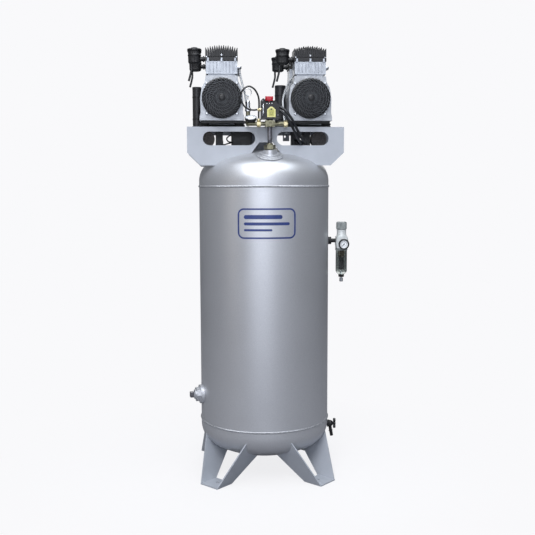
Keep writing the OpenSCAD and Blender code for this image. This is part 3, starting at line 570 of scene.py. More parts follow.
def wire_braid():
    """Stainless wire braid: two sets of strands that cross along the hose, 2 mm apart."""
    m, tree, shader, _ = finish_named("stainless_wire_braid", Metallic=0.9)
    run = add(tree, "ShaderNodeAttribute", {"attribute_name": "run"}).outputs["Vector"]
    split = add(tree, "ShaderNodeSeparateXYZ", None, {"Vector": run})
    angle = add(tree, "ShaderNodeMath", {"operation": "ARCTAN2"},
                {0: split.outputs["Y"], 1: split.outputs["X"]})
    strands = []
    for sense in (1, -1):
        round_turn = add(tree, "ShaderNodeMath", {"operation": "MULTIPLY"},
                         {0: angle.outputs[0], 1: 12.0 * sense})
        phase = add(tree, "ShaderNodeMath", {"operation": "MULTIPLY_ADD"},
                    {0: split.outputs["Z"], 1: TAU / 2.0, 2: round_turn.outputs[0]})
        strands.append(add(tree, "ShaderNodeMath", {"operation": "SINE"}, {0: phase.outputs[0]}).outputs[0])
    top = add(tree, "ShaderNodeMath", {"operation": "MAXIMUM"}, {0: strands[0], 1: strands[1]}).outputs[0]
    level = ranged(tree, top, 0, 1, -0.4, 1)
    mottled(tree, shader, level, "#7E8185", "#E4E6E8")
    roughened(tree, shader, level, 0.26, 0.44)
    textured(tree, shader, level, 0.35)
    return m


def laminated_steel():
    """Stack of punched laminations: fine dark lines square to the shaft, 1.2 mm apart."""
    m, tree, shader, place = finish_named("stacked_laminations", Metallic=0.9)
    lines = add(tree, "ShaderNodeTexWave", {"wave_type": "BANDS", "bands_direction": "Y"},
                {"Vector": place, "Scale": TAU / (20 * 1.2 * MM), "Distortion": 0.0}).outputs["Fac"]
    mottled(tree, shader, lines, "#4A4C50", "#8D9095")
    roughened(tree, shader, noise(tree, place, 9, 4), 0.34, 0.5)
    textured(tree, shader, lines, 0.2)
    return m


def copper_wire():
    """Enamelled copper windings: fine amber strands round the shaft."""
    m, tree, shader, place = finish_named("enamelled_copper_wire", Metallic=0.8, Coat_Weight=0.5,
                                          Coat_Roughness=0.2)
    strand = noise(tree, place, 2.0, 2, (1, 3, 1))
    mottled(tree, shader, strand, "#7A3A16", "#C9733A")
    roughened(tree, shader, strand, 0.24, 0.4)
    textured(tree, shader, strand, 0.4)
    return m


def regulator_paint():
    """Pale grey painted zinc casting of the regulator body: smooth satin."""
    m, tree, shader, place = finish_named("pale_grey_enamel", Metallic=0.1, Coat_Weight=0.2,
                                          Coat_Roughness=0.25)
    skin = noise(tree, place, 15, 4)
    mottled(tree, shader, skin, "#CBD0CF", "#DDE1E0")
    roughened(tree, shader, skin, 0.32, 0.44)
    textured(tree, shader, noise(tree, place, 1.4, 2), 0.06)
    return m


def grey_knob_plastic():
    """Ribbed acetal knob: mid grey, satin moulded."""
    m, tree, shader, place = finish_named("grey_acetal", Metallic=0.0)
    skin = noise(tree, place, 8, 3)
    mottled(tree, shader, skin, "#7F8484", "#949A99")
    roughened(tree, shader, skin, 0.34, 0.46)
    textured(tree, shader, noise(tree, place, 1.0, 2), 0.05)
    return m


def clear_polycarbonate():
    """Moulded polycarbonate bowl: clear with a faint grey tint and soft moulding waves."""
    m, tree, shader, place = finish_named("clear_polycarbonate", Metallic=0.0, IOR=1.58,
                                          Transmission_Weight=1.0, Roughness=0.04,
                                          Base_Color=linear("#DDE3DF"))
    textured(tree, shader, noise(tree, place, 18, 2), 0.15)
    return m


def filter_bronze():
    """Sintered bronze and smoked baffle above the element: brown-grey, granular."""
    m, tree, shader, place = finish_named("sintered_bronze", Metallic=0.3)
    grit = noise(tree, place, 1.2, 3)
    mottled(tree, shader, grit, "#5E5245", "#8D8070")
    roughened(tree, shader, grit, 0.55, 0.75)
    textured(tree, shader, grit, 0.3)
    return m


def dial_card():
    """Printed aluminium dial: matt white with a faint tooth."""
    m, tree, shader, place = finish_named("white_dial_card", Metallic=0.0)
    tooth = noise(tree, place, 0.9, 2)
    mottled(tree, shader, tooth, "#EDF1F4", "#FBFCFD")
    roughened(tree, shader, tooth, 0.45, 0.6)
    textured(tree, shader, tooth, 0.02)
    return m


def dial_ink():
    """Black and blue printing ink on a dial: flat, slightly uneven."""
    m, tree, shader, place = finish_named("dial_ink", Metallic=0.0)
    tooth = noise(tree, place, 1.2, 2)
    mottled(tree, shader, tooth, "#16202E", "#27364A")
    roughened(tree, shader, tooth, 0.5, 0.65)
    return m


def yellow_label():
    """Vinyl sticker in pale yellow: smooth, a little faded."""
    m, tree, shader, place = finish_named("yellow_vinyl", Metallic=0.0, Coat_Weight=0.3, Coat_Roughness=0.2)
    fade = noise(tree, place, 12, 3)
    mottled(tree, shader, fade, "#CBC878", "#D8D590")
    roughened(tree, shader, fade, 0.3, 0.42)
    textured(tree, shader, fade, 0.02)
    return m


def ochre_label():
    """Darker yellow vinyl panel within the sticker."""
    m, tree, shader, place = finish_named("ochre_vinyl", Metallic=0.0, Coat_Weight=0.3, Coat_Roughness=0.2)
    fade = noise(tree, place, 9, 3)
    mottled(tree, shader, fade, "#A3A148", "#B5B35A")
    roughened(tree, shader, fade, 0.3, 0.42)
    return m


def navy_vinyl():
    """Cut vinyl in navy blue: thin film, satin."""
    m, tree, shader, place = finish_named("navy_vinyl", Metallic=0.0)
    fade = noise(tree, place, 30, 3)
    mottled(tree, shader, fade, "#24356E", "#31427E")
    roughened(tree, shader, fade, 0.34, 0.46)
    textured(tree, shader, fade, 0.02)
    return m


def studio_floor():
    """Seamless pale paper: it shows as a white sweep with a faint shade under the object, and it
    throws back little light, so the undersides stay dark."""
    m, tree, shader, place = finish_named("pale_paper", Metallic=0.0, Roughness=0.9)
    fibre = noise(tree, place, 40, 4)
    mottled(tree, shader, fibre, "#F4F4F6", "#FAFAFB")
    glow = add(tree, "ShaderNodeEmission", None, {"Color": linear("#F9F9FB"), "Strength": 1.0})
    away = add(tree, "ShaderNodeVectorMath", {"operation": "LENGTH"}, {0: place}).outputs["Value"]
    plain = ranged(tree, away, 0.86, 1.0, 0.3, 1.1)
    seen = add(tree, "ShaderNodeMixShader", None, {0: plain, 1: shader.outputs[0], 2: glow.outputs[0]})
    grey = add(tree, "ShaderNodeBsdfDiffuse", None, {"Color": linear("#8F8F92")})
    path = add(tree, "ShaderNodeLightPath")
    both = add(tree, "ShaderNodeMixShader", None,
               {0: path.outputs["Is Camera Ray"], 1: grey.outputs[0], 2: seen.outputs[0]})
    output = next(n for n in tree.nodes if n.type == "OUTPUT_MATERIAL")
    tree.links.new(both.outputs[0], output.inputs["Surface"])
    return m


SILVER, WELD, POWDER = silver_paint(), weld_silver(), grey_powder_coat()
CAST, BARREL, BLACK_CAST = cast_aluminium(), bright_casting(), black_casting()
NYLON, GUARD, ABS, RED = moulded_black(), guard_black(), dark_plastic(), glossy_red()
PIPE, DRUM = galvanised_pipe(), dusty_drum()
BRASS, OLIVE, PLATE, BLACK_STEEL = turned_brass(), olive_zinc(), plated_steel(), black_oxide()
RUBBER, TUBE, SHEATH, BRAID = soft_rubber(), nylon_tube(), pvc_sheath(), wire_braid()
CORE, COPPER = laminated_steel(), copper_wire()
REG_PAINT, REG_GREY = regulator_paint(), grey_knob_plastic()
CLEAR, BRONZE = clear_polycarbonate(), filter_bronze()
DIAL, INK, YELLOW, OCHRE, NAVY = dial_card(), dial_ink(), yellow_label(), ochre_label(), navy_vinyl()


# ---------------------------------------------------------------- receiver


def head_outline(sign, base):
    """Dished head from its open edge to its crown: a straight flange, a knuckle arc, a crown arc."""
    swing = math.atan2(KNUCKLE_X, CROWN_DROP)
    knuckle = [(KNUCKLE_X + KNUCKLE_R * math.cos(t), KNUCKLE_R * math.sin(t))
               for t in np.linspace(0, math.pi / 2 - swing, 14)]
    crown = [(CROWN_R * math.sin(t), CROWN_R * math.cos(t) - CROWN_DROP)
             for t in np.linspace(swing, 0, 22)[1:]]
    outside = [(TANK_R, -HEAD_FLANGE)] + knuckle + crown
    inside = [(r * 0.985, h - 4 if i > 2 else h) for i, (r, h) in enumerate(outside)]
    inside[-1] = (0, outside[-1][1] - 4)
    return [(r, base + sign * h) for r, h in inside[::-1] + outside]


def ripple_bead(z):
    """Girth weld: a ring whose height rises and falls in overlapping scallops 4 mm apart."""
    segments, sides = 2400, 8
    a = np.arange(segments) * TAU / segments
    b = np.linspace(-math.pi / 2, math.pi / 2, sides)
    ripple = 1 + 0.16 * np.sin(400 * a[None, :] + 2.2 * b[:, None] ** 2)
    r = TANK_R - 1.5 + 4.2 * np.cos(b)[:, None] * ripple
    h = z + 4.4 * np.sin(b)[:, None] + 0 * a[None, :]
    v = np.stack([r * np.cos(a), r * np.sin(a), h], -1).reshape(-1, 3)
    return v, grid_faces(sides, segments, True)


def on_tank(u, z, lift):
    """A point u millimetres round the front of the shell, at height z, lifted off it."""
    a = np.asarray(u) / TANK_R - math.pi / 2
    r = TANK_R + lift
    return np.stack(np.broadcast_arrays(r * np.cos(a), r * np.sin(a), z), -1)


def film(u, low, high, thick=0.35):
    """Strip of film on the shell between two edges, closed all round."""
    rows = [on_tank(u, low, 0.0), on_tank(u, low, thick), on_tank(u, high, thick), on_tank(u, high, 0.0)]
    v = np.stack(rows, 1).reshape(-1, 3)
    n = len(u)
    return v, grid_faces(n, 4) + [[0, 1, 2, 3], [(n - 1) * 4 + i for i in (3, 2, 1, 0)]]


def badge():
    """Plain generic badge: a rounded navy frame round three bars of unequal length."""
    half_w, half_h, corner, line, left_of = 110.0, 56.0, 24.0, 6.0, 6.0
    piece = Piece()
    u = np.concatenate([np.linspace(-half_w, corner - half_w, 26)[:-1],
                        np.linspace(corner - half_w, half_w - corner, 60),
                        np.linspace(half_w - corner, half_w, 26)[1:]])
    past = np.maximum(np.abs(u) - (half_w - corner), 0)
    outer = half_h - corner + np.sqrt(np.maximum(corner**2 - past**2, 0.04))
    inner_r = corner - line
    inner = half_h - corner + np.sqrt(np.maximum(inner_r**2 - np.minimum(past, inner_r) ** 2, 0))
    inner = np.where(np.abs(u) <= half_w - line, inner, 0.0)
    piece.add(film(u - left_of, BADGE_Z + inner, BADGE_Z + outer))
    piece.add(film(u - left_of, BADGE_Z - outer, BADGE_Z - inner))
    for z, left, right, half in ((24, -86, 58, 7.5), (-1, -86, 86, 5.5), (-24, -86, 20, 4.0)):
        bar = np.linspace(left, right, 80)
        near = np.minimum(np.minimum(bar - left, right - bar), half)
        rise = np.sqrt(np.maximum(half**2 - (half - near) ** 2, 0.02))
        piece.add(film(bar - left_of, BADGE_Z + z - rise, BADGE_Z + z + rise))
    piece.make("tank_badge", NAVY, "dark_plastic", sharp=50)


def receiver():
    shell = [(TANK_R, SHELL_LOW), (TANK_R, (SHELL_LOW + SHELL_HIGH) / 2), (TANK_R, SHELL_HIGH),
             (TANK_R - 4, SHELL_HIGH), (TANK_R - 4, SHELL_LOW)]
    Piece().add(revolve(shell, 256, True)).make("shell", SILVER, "tank_paint", nodes="tank_shell")
    Piece().add(revolve(head_outline(1, TANGENT_HIGH), 256, True)).make(
        "upper_head", SILVER, "tank_paint", nodes="top_head")
    Piece().add(revolve(head_outline(-1, TANGENT_LOW), 256, True)).make(
        "lower_head", SILVER, "tank_paint", nodes="bottom_head")
    Piece().add(ripple_bead(SHELL_LOW)).add(ripple_bead(SHELL_HIGH)).make(
        "girth_weld_beads", WELD, "weld_steel", nodes="girth_welds")
    badge()


def legs_and_deck():
    for node in ("leg_front_left", "leg_front_right", "leg_rear_left", "leg_rear_right"):
        refined(node, POWDER, 1.0)
    refined("deck", POWDER, 1.4)


# ---------------------------------------------------------------- pumps


def guard_surface(rim_piece, vane_piece, at, outward):
    """Fan guard: scalloped rim, curved vanes that swirl from the hub, crossed by thin rings."""
    facing = np.array([[1, 0, 0], [0, 0, outward], [0, 1, 0]], float)
    depth, r = GUARD_DEPTH, GUARD_R
    notches, n = 36, 36 * 12
    a = np.arange(n) * TAU / n
    scallop = 1.6 * (0.5 + 0.5 * np.cos(notches * a)) ** 3
    levels = [(r - 3, 0, 0), (r - 1.2, 0, 0), (r - 1.0, depth - 13, 1), (r - 2.5, depth - 9, 1),
              (r - 7, depth - 7.5, 0.3),
              (r - 8, depth - 9.5, 0), (r - 4.5, depth - 12, 0), (r - 3.4, depth - 15, 0)]
    rim = np.array([np.stack([(rr - w * scallop) * np.cos(a), (rr - w * scallop) * np.sin(a), np.full(n, z)],
                             -1)
                    for rr, z, w in levels])
    rim_piece.add((rim.reshape(-1, 3), grid_faces(len(levels), n, True)), at, facing)

    def face_depth(rho):
        """The face bulges gently outwards towards the hub."""
        return depth - 1.5 - 7.0 * (rho / r) ** 3

    vanes = 30
    rho = np.linspace(13, r - 5, 15)
    swirl = 1.15 * ((rho - 13) / (r - 18)) ** 1.15
    half = np.array([[-1.0, -3.4], [1.0, -3.4], [0.95, 0.6], [0.4, 1.3], [-0.4, 1.3], [-0.95, 0.6]])
    m, k = len(rho), len(half)
    caps = [list(range(k))[::-1], [(m - 1) * k + i for i in range(k)]]
    for turned in range(vanes):
        theta = TAU * turned / vanes + swirl
        c = np.stack([rho * np.cos(theta), rho * np.sin(theta), face_depth(rho)], -1)
        t = np.gradient(c[:, :2], axis=0)
        t /= np.linalg.norm(t, axis=1)[:, None]
        side = np.stack([-t[:, 1], t[:, 0], 0 * rho], -1)
        v = c[:, None, :] + side[:, None, :] * half[None, :, 0:1] + np.array([0, 0, 1.0]) * half[None, :, 1:2]
        vane_piece.add((v.reshape(-1, 3), grid_faces(m, k) + caps), at, facing)
    for ring_r in (21, 34, 46, 57):
        z = face_depth(ring_r)
        loop = [(ring_r - 0.9, z - 2.6), (ring_r + 0.9, z - 2.6), (ring_r + 0.6, z + 0.4),
                (ring_r - 0.6, z + 0.4)]
        vane_piece.add(revolve(loop, 96, True), at, facing)
    hub = [(0, depth - 6), (13.5, depth - 6), (14.5, depth - 4.5), (14.5, depth - 2), (13.5, depth - 0.8),
           (11.5, depth - 0.4), (10.5, depth - 1.4), (9.5, depth - 0.6), (4, depth - 0.2), (0, depth - 0.2)]
    rim_piece.add(revolve(hub, 48), at, facing)


def guards():
    rims, vanes = Piece(), Piece()
    for sx, _ in PUMPS:
        for sy, _ in ENDS:
            guard_surface(rims, vanes, (sx * PUMP_X, sy * CASE_OUT, SHAFT_Z), sy)
    rims.make("fan_guard_rims", NYLON, "fan_plastic", nodes="guards", sharp=40)
    # the vanes take the grey finish with the painted highlight; the rims keep the true black
    vanes.make("fan_guard_vanes", GUARD, "fan_plastic", sharp=40)


def head_casting(piece, x0, y0, z0):
    """Cylinder head: a notched base and tapered fins that touch low down, with their tips along an arc."""
    w, d, base, fins = HEAD_W, HEAD_D, 14.0, 15
    piece.add(block((w, d, base - 1), (x0, y0, z0 + (base + 1) / 2)))
    piece.add(block((w - 10, d - 8, 6), (x0, y0, z0 + base + 2)))
    pitch = (w - 8) / (fins - 1)
    teeth = 9
    y = np.linspace(-d / 2 + 1, d / 2 - 1, teeth * 4 + 1)
    for k in range(fins):
        x = (k - (fins - 1) / 2) * pitch
        share = 2 * x / w
        top = base + 44 - 11 * share**2 - (1.8 if k % 2 else 0.0)
        crest = top - 1.8 + 1.8 * np.cos(teeth * TAU * (y + d / 2 - 1) / (d - 2))
        shoulder = np.full_like(y, top - 12)
        foot = np.full_like(y, base + 3.0)
        lean = share * 2.4
        section = [(x - 3.8, foot), (x + 3.8, foot), (x + 3.7, shoulder), (x + lean + 1.1, crest),
                   (x + lean - 1.1, crest), (x - 3.7, shoulder)]
        v = np.stack([np.stack([np.full_like(y, xx), y, zz], -1) for xx, zz in section], 1)
        m, n = len(section), len(y)
        piece.add((v.reshape(-1, 3), grid_faces(n, m) + [list(range(m))[::-1],
                                                         [(n - 1) * m + i for i in range(m)]]),
                  (x0, y0, z0))


def heads():
    for sx, side in PUMPS:
        piece, screws, posts = Piece(), Piece(), Piece()
        for sy, _ in ENDS:
            x0, y0, z0 = sx * PUMP_X, sy * CYL_Y, HEAD_LOW[2]
            head_casting(piece, x0, y0, z0)
            for dx in (-50, 0, 50):
                posts.add(block((7, 6, 14), (x0 + dx, y0 + sy * (HEAD_D / 2 - 1.6), z0 + 4.5)))
            face = y0 + sy * HEAD_D / 2
            out = turn("X", 90 if sy < 0 else -90)
            screws.add(revolve(rounded(3.6, 2.4, 1.0), 24), (x0, face - sy * 1.4, z0 + 22), out)
            for dx in (-1, 1):
                for dy in (-1, 1):
                    screws.add(hexagonal(4.6, 5), (x0 + dx * (HEAD_W / 2 - 5), y0 + dy * (HEAD_D / 2 - 5),
                                                   z0 + 13.5))
        piece.make(side + "_finned_heads", BLACK_CAST, "black_casting", nodes=side + "_heads", bevel=0.35,
                   sharp=40)
        screws.make(side + "_head_screws", PLATE, "polished_steel")
        posts.make(side + "_barrel_posts", BARREL, "bright_aluminium", bevel=0.8)


def barrels():
    """Barrels keep their CAD shape; thin upright ribs stand on their outer faces."""
    for sx, side in PUMPS:
        face = box_mm(side + "_cylinders")[1][1]
        ribs = Piece()
        for sy, _ in ENDS:
            for dx in (-46, -31, -15.5, 0, 15.5, 31, 46):
                ribs.add(block((3.2, 3.0, 34), (sx * PUMP_X + dx, sy * (face - 0.6), HEAD_LOW[2] - 22)))
        ribs.make(side + "_barrel_ribs", BARREL, "bright_aluminium", bevel=0.9)
        refined(side + "_cylinders", BARREL, 0.7)
        refined(side + "_crankcases", CAST, 1.6)
        refined(side + "_fans", NYLON, 0.4, side + "_shaft")


def pump_fasteners():
    """Cap screws that hold each guard and each barrel, and the cast lugs under the guard screws."""
    piece, lugs = Piece(), Piece()
    for sx, _ in PUMPS:
        for sy, _ in ENDS:
            out = turn("X", 90 if sy < 0 else -90)
            for a in (45, 135, 225, 315):
                x = sx * PUMP_X + 79 * math.cos(math.radians(a))
                z = SHAFT_Z + 79 * math.sin(math.radians(a))
                if abs(x - sx * PUMP_X) < 62:
                    lugs.add(revolve(rounded(6, 5, 1.2), 32), (x, sy * (CASE_OUT - 0.5), z), out)
                    piece.add(revolve(rounded(3.8, 3.4, 0.6), 24), (x, sy * (CASE_OUT + 4.4), z), out)
            for dx in (-1, 1):
                piece.add(revolve(rounded(3.2, 3, 0.6), 24),
                          (sx * PUMP_X + dx * 50, sy * CYL_Y - sy * 39, SHAFT_Z + 83 + 3), np.eye(3))
    piece.make("guard_screws", PLATE, "polished_steel")
    lugs.make("guard_lugs", CAST, "cast_aluminium")


def filter_can(piece, tails, x, y, z):
    """Intake filter: ribbed canister, clamped cap, wing knob, spigot, and a cranked tail."""
    can = [(0, 0, 0), (17, 0, 0), (21.5, 2.2, 0), (23.2, 5, 0), (23.4, 8, 1), (23.8, 26, 1), (23.9, 28, 0),
           (25, 29, 0), (25, 33, 0), (24, 34, 0), (24, 36, 1), (24.2, 44, 1), (24.3, 46, 0), (26.6, 47, 0),
           (27, 48.5, 0), (27, 53, 0), (26, 54.6, 0), (18, 55.4, 0), (16, 54.2, 0), (9, 54.6, 0), (6, 55, 0),
           (6, 59, 0), (5, 61, 0), (0, 61, 0)]
    piece.add(fluted(can, 28, 1.1), (x, y, z))
    piece.add(block((22, 3.2, 6.0), (x, y, z + 57.6)))
    for a in (20, 200):
        t = math.radians(a)
        piece.add(block((6, 5, 9)), (x + 24 * math.cos(t), y + 24 * math.sin(t), z + 46), turn("Z", a))
    level = z + 18
    piece.add(sweep([(x + 20, y, level), (x + 30, y, level), (x + 41, y, level)], 8, 24))
    piece.add(revolve([(8, 0), (10.5, 0), (11, 1), (11, 5), (10.5, 6), (8, 6)], 40, True), (x + 31, y, level),
              turn("Y", 90))
    kink = math.radians(14)
    start = np.array([x - 12, y, z + 1])
    knee = start + (0, 0, -23)
    tip = knee + 42 * np.array([-math.sin(kink), 0, -math.cos(kink)])
    tails.add(sweep(smooth_path([start, start + (0, 0, -11), knee, (knee + tip) / 2 + (0.6, 0, 0), tip], 6),
                    3.9, 16))


def filters():
    cans, tails = Piece(), Piece()
    for sx, _ in PUMPS:
        for sy, _ in ENDS:
            filter_can(cans, tails, sx * PUMP_X - 100, sy * CYL_Y, FILTER_HIGH[2] - 61)
    cans.make("intake_filters", NYLON, "black_plastic", nodes="filters", sharp=40)
    tails.make("filter_tails", TUBE, "tube_black", sharp=50)


COIL_W = 14.0          # how far the copper coils stand out of the stator stack


def motors():
    stators = refined("stators", CORE, 0)
    stators.data.materials.append(COPPER)
    coil = box_mm("stators")[1][1] - COIL_W + 0.5
    for face in stators.data.polygons:
        if abs(face.center.y) * 1000 > coil:
            face.material_index = 1
    refined("bearings", PLATE, 0.4)
    for _, side in PUMPS:
        refined(side + "_rotor", CORE, 0.4, side + "_shaft")
        for _, end in ENDS:
            refined(side + "_piston_" + end, BARREL, 0.4, f"{side}_{end}_piston")
    low, high = box_mm("capacitors")
    piece, clips = Piece(), Piece()
    for x, r, h in ((low[0] + 21, 17, 160), (high[0] - 25, 21, 168)):
        at = (x, 10, DECK_TOP)
        can = [(0, 0), (r + 3.4, 0), (r + 4, 0.6), (r + 4, 9), (r + 3, 10), (r, 10), (r, 14), (r - 0.6, 14.6),
               (r - 0.6, 16), (r, 16.6), (r, h - 8), (r + 0.5, h - 7.4), (r + 0.5, h - 1), (r - 0.5, h),
               (r - 2, h),
               (r - 2.6, h - 1.2), (0, h - 1.2)]
        piece.add(revolve(can, 72), at)
        for z in (34, h - 42):
            clips.add(revolve([(r, z), (r + 0.8, z + 0.3), (r + 0.8, z + 5.7), (r, z + 6)], 72, True), at)
    piece.make("start_capacitors", ABS, "dark_plastic", nodes="capacitors")
    clips.make("capacitor_clips", BLACK_STEEL, "black_steel")


WASHER_UP = 12.4       # underside of a mount washer above the deck


def mountings():
    refined("mount_rails", BLACK_STEEL, 0.8)
    refined("mount_bolts", PLATE, 0.3)
    piece, washers = Piece(), Piece()
    waist = [(4.4, 0), (18.4, 0), (19, 0.8), (19, 2.4), (17.6, 4), (15.8, 7), (17.6, 10), (19, 11.6),
             (19, 13.2), (18.4, 14),
             (4.4, 14)]
    for sx, _ in PUMPS:
        for dx in (-66, 66):
            for sy, _ in ENDS:
                piece.add(revolve(waist, 48, True), (sx * PUMP_X + dx, sy * CYL_Y, DECK_TOP))
                washers.add(revolve([(9, 0), (12, 0), (12, 1.6), (9, 1.6)], 40, True),
                            (sx * PUMP_X + dx, sy * CYL_Y, DECK_TOP + WASHER_UP))
    piece.make("rubber_feet", RUBBER, "rubber", nodes="rubber_mounts")
    washers.make("mount_washers", PLATE, "zinc_steel")


# ---------------------------------------------------------------- pipework


def hose(name, points, radius, finish, slot, nodes=(), sides=20, per_span=10):
    """Tube along a given route; its run attribute holds the angle's cosine and sine, and the length."""
    path = smooth_path(points, per_span)
    v, faces = sweep(path, radius, sides)
    length = np.concatenate([[0], np.cumsum(np.linalg.norm(np.diff(path, axis=0), axis=1))])
    a = np.arange(sides) * TAU / sides
    run = np.stack(np.broadcast_arrays(np.cos(a)[None, :], np.sin(a)[None, :], length[:, None]), -1)
    piece = Piece().add((v, faces)).make(name, finish, slot, nodes=nodes, sharp=50, recalc=False)
    data = piece.data.attributes.new("run", "FLOAT_VECTOR", "POINT")
    data.data.foreach_set("vector", run.astype(np.float32).ravel())
    return piece


LOOP_ROUTE = [[-36, -190, 58], [-50, -194, 56], [-68, -196, 59], [-86, -197, 72], [-97, -197, 100],
              [-90, -197, 126], [-68, -197, 141], [-46, -195, 130], [-32, -190, 104], [-29, -180, 74],
              [-30, -173, 46], [-30, -172, 20]]
LEFT_HOSE_ROUTE = [[-97, -100, 214], [-95, -100, 195], [-88, -101, 165], [-78, -103, 125], [-72, -104, 85],
                   [-66, -105, 50], [-52, -114, 22], [-36, -132, 10], [-30, -150, 8]]
RIGHT_HOSE_ROUTE = [[226, 0, 221], [205, 0, 221], [165, 0, 214], [115, -8, 198], [88, -34, 160],
                    [70, -72, 110], [68, -100, 66], [70, -120, 32], [70, -136, 12], [70, -150, 8]]
CABLE_ROUTE = [[44, -176, 68], [56, -184, 64], [74, -189, 48], [92, -187, 24], [108, -178, -4],
               [124, -160, -32], [140, -132, -52], [150, -95, -60], [152, -60, -58], [146, -20, -50],
               [138, 30, -42]]


def hoses():
    lift = np.array([0, 0, DECK_TOP])
    hose("unloader_loop", np.array(LOOP_ROUTE) + lift, 3.25, TUBE, "tube_black", "loop_tube")
    hose("left_discharge_hose", np.array(LEFT_HOSE_ROUTE) + lift, 4, BRAID, "hose_metal", "discharge_hoses")
    hose("right_discharge_hose", np.array(RIGHT_HOSE_ROUTE) + lift, 4, BRAID, "hose_metal")
    ferrule = [(4.0, 0), (5.4, 0), (5.8, 0.5), (5.8, 3), (5.2, 3.6), (5.8, 4.2), (5.8, 10), (5.4, 10.5),
               (4.0, 10.5)]
    ends = Piece()
    for x in (-30, 70):
        ends.add(revolve(ferrule, 32, True), (x, -150 + 10.5, DECK_TOP + 8), turn("X", 90))
    ends.make("hose_ferrules", PLATE, "zinc_steel")
    for k, name in enumerate(("left_motor_cable", "right_motor_cable")):
        points = np.array(CABLE_ROUTE, float)
        points[1:-1] += np.array([-10, -2, -7]) * k
        points[0] += np.array([0, 3, -14]) * k
        points[-1] += np.array([-12, 0, 0]) * k
        hose(name, points + lift, 5, SHEATH, "cable_black", "power_cables" if k == 0 else ())
    refined("wiring_boxes", ABS, 1.5)
    refined("crossovers", PLATE, 0.6)


def port():
    """Boss on the crown, its weld rings, the hex reducer, and the threaded riser."""
    refined("port_boss", SILVER, 1.2)
    tilt = math.degrees(math.asin(math.hypot(RISER[0], RISER[1]) / CROWN_R))
    heading = math.degrees(math.atan2(RISER[1], RISER[0]))
    lean = turn("Z", heading) @ turn("Y", tilt)
    rings = Piece()
    foot = np.array([0, 0, TANGENT_HIGH - CROWN_DROP]) + lean @ np.array([0, 0, CROWN_R - 4])
    for r, h, bead in ((45.5, 5.2, 3.6), (35.3, 9.2, 2.6)):
        n = 720
        a = np.arange(n) * TAU / n
        b = np.linspace(0, TAU, 10, endpoint=False)
        swell = bead * (1 + 0.14 * np.sin(a[None, :] * r + 1.4 * np.cos(b)[:, None]))
        v = np.stack([(r + swell * np.cos(b)[:, None]) * np.cos(a),
                      (r + swell * np.cos(b)[:, None]) * np.sin(a),
                      h - 1 + swell * np.sin(b)[:, None]], -1)
        rings.add((v.reshape(-1, 3), grid_faces(10, n, True)), foot, lean)
    rings.make("boss_weld_rings", WELD, "weld_steel")
    high = box_mm("port_reducer")[1]
    z = BOSS_HIGH[2]
    hexes = Piece()
    hexes.add(hexagonal(22, high[2] - z - 6, 6, 0.95), (RISER[0], RISER[1], z))
    hexes.add(revolve(rounded(12.4, 6, 1), 48), (RISER[0], RISER[1], high[2] - 6.2))
    hexes.make("hex_reducer", OLIVE, "brass", nodes="port_reducer")
    r = (RISER_HIGH[0] - RISER_LOW[0]) / 2
    pitch, pipe = 1.8, []
    for k in range(7):
        base = high[2] + 0.3 + k * pitch
        pipe += [(r - 1.0, base), (r - 0.1, base + pitch / 2)]
    profile = [(r - 2.3, RISER_LOW[2]), (r, RISER_LOW[2]), (r, high[2] - 0.2)] + pipe
    profile += [(r, high[2] + 14), (r, RISER_HIGH[2]), (r - 2.3, RISER_HIGH[2])]
    Piece().add(revolve(profile, 64, True), (RISER[0], RISER[1], 0)).make(
        "riser", PIPE, "zinc_steel", nodes="riser_pipe")


def manifold():
    refined("manifold", OLIVE, 1.4)
    plug = Piece()
    low, _ = box_mm("manifold")
    arm_z = DECK_TOP + 8
    plug.add(revolve([(6.6, 0), (10.2, 0), (11.6, 1.2), (11.6, 4.5), (6.6, 4.5)], 48, True),
             (RISER[0], low[1] + 4.4, arm_z), turn("X", 90))
    plug.make("manifold_plug_rim", OLIVE, "zinc_steel")
    unions, nuts = Piece(), Piece()
    for x in (-30, 70):
        unions.add(hexagonal(13, 14, 6, 0.93), (x - 7, RISER[1], arm_z), turn("Y", 90))
        unions.add(revolve([(0, 0), (6, 0), (6, 13), (0, 13)], 40), (x, RISER[1] + 9.5, arm_z),
                   turn("X", -90))
        nuts.add(hexagonal(8.4, 8, 6, 0.9), (x, RISER[1] + 12, arm_z), turn("X", -90))
    unions.make("brass_unions", BRASS, "brass", nodes="tube_fittings")
    nuts.make("brass_flare_nuts", BRASS, "brass")
    collar = Piece()
    collar.add(hexagonal(7.6, 7, 6, 0.9), (-30, RISER[1], arm_z + 11))
    collar.make("loop_nut", BRASS, "brass")
    refined("unloader_valve", BRASS, 0.5)


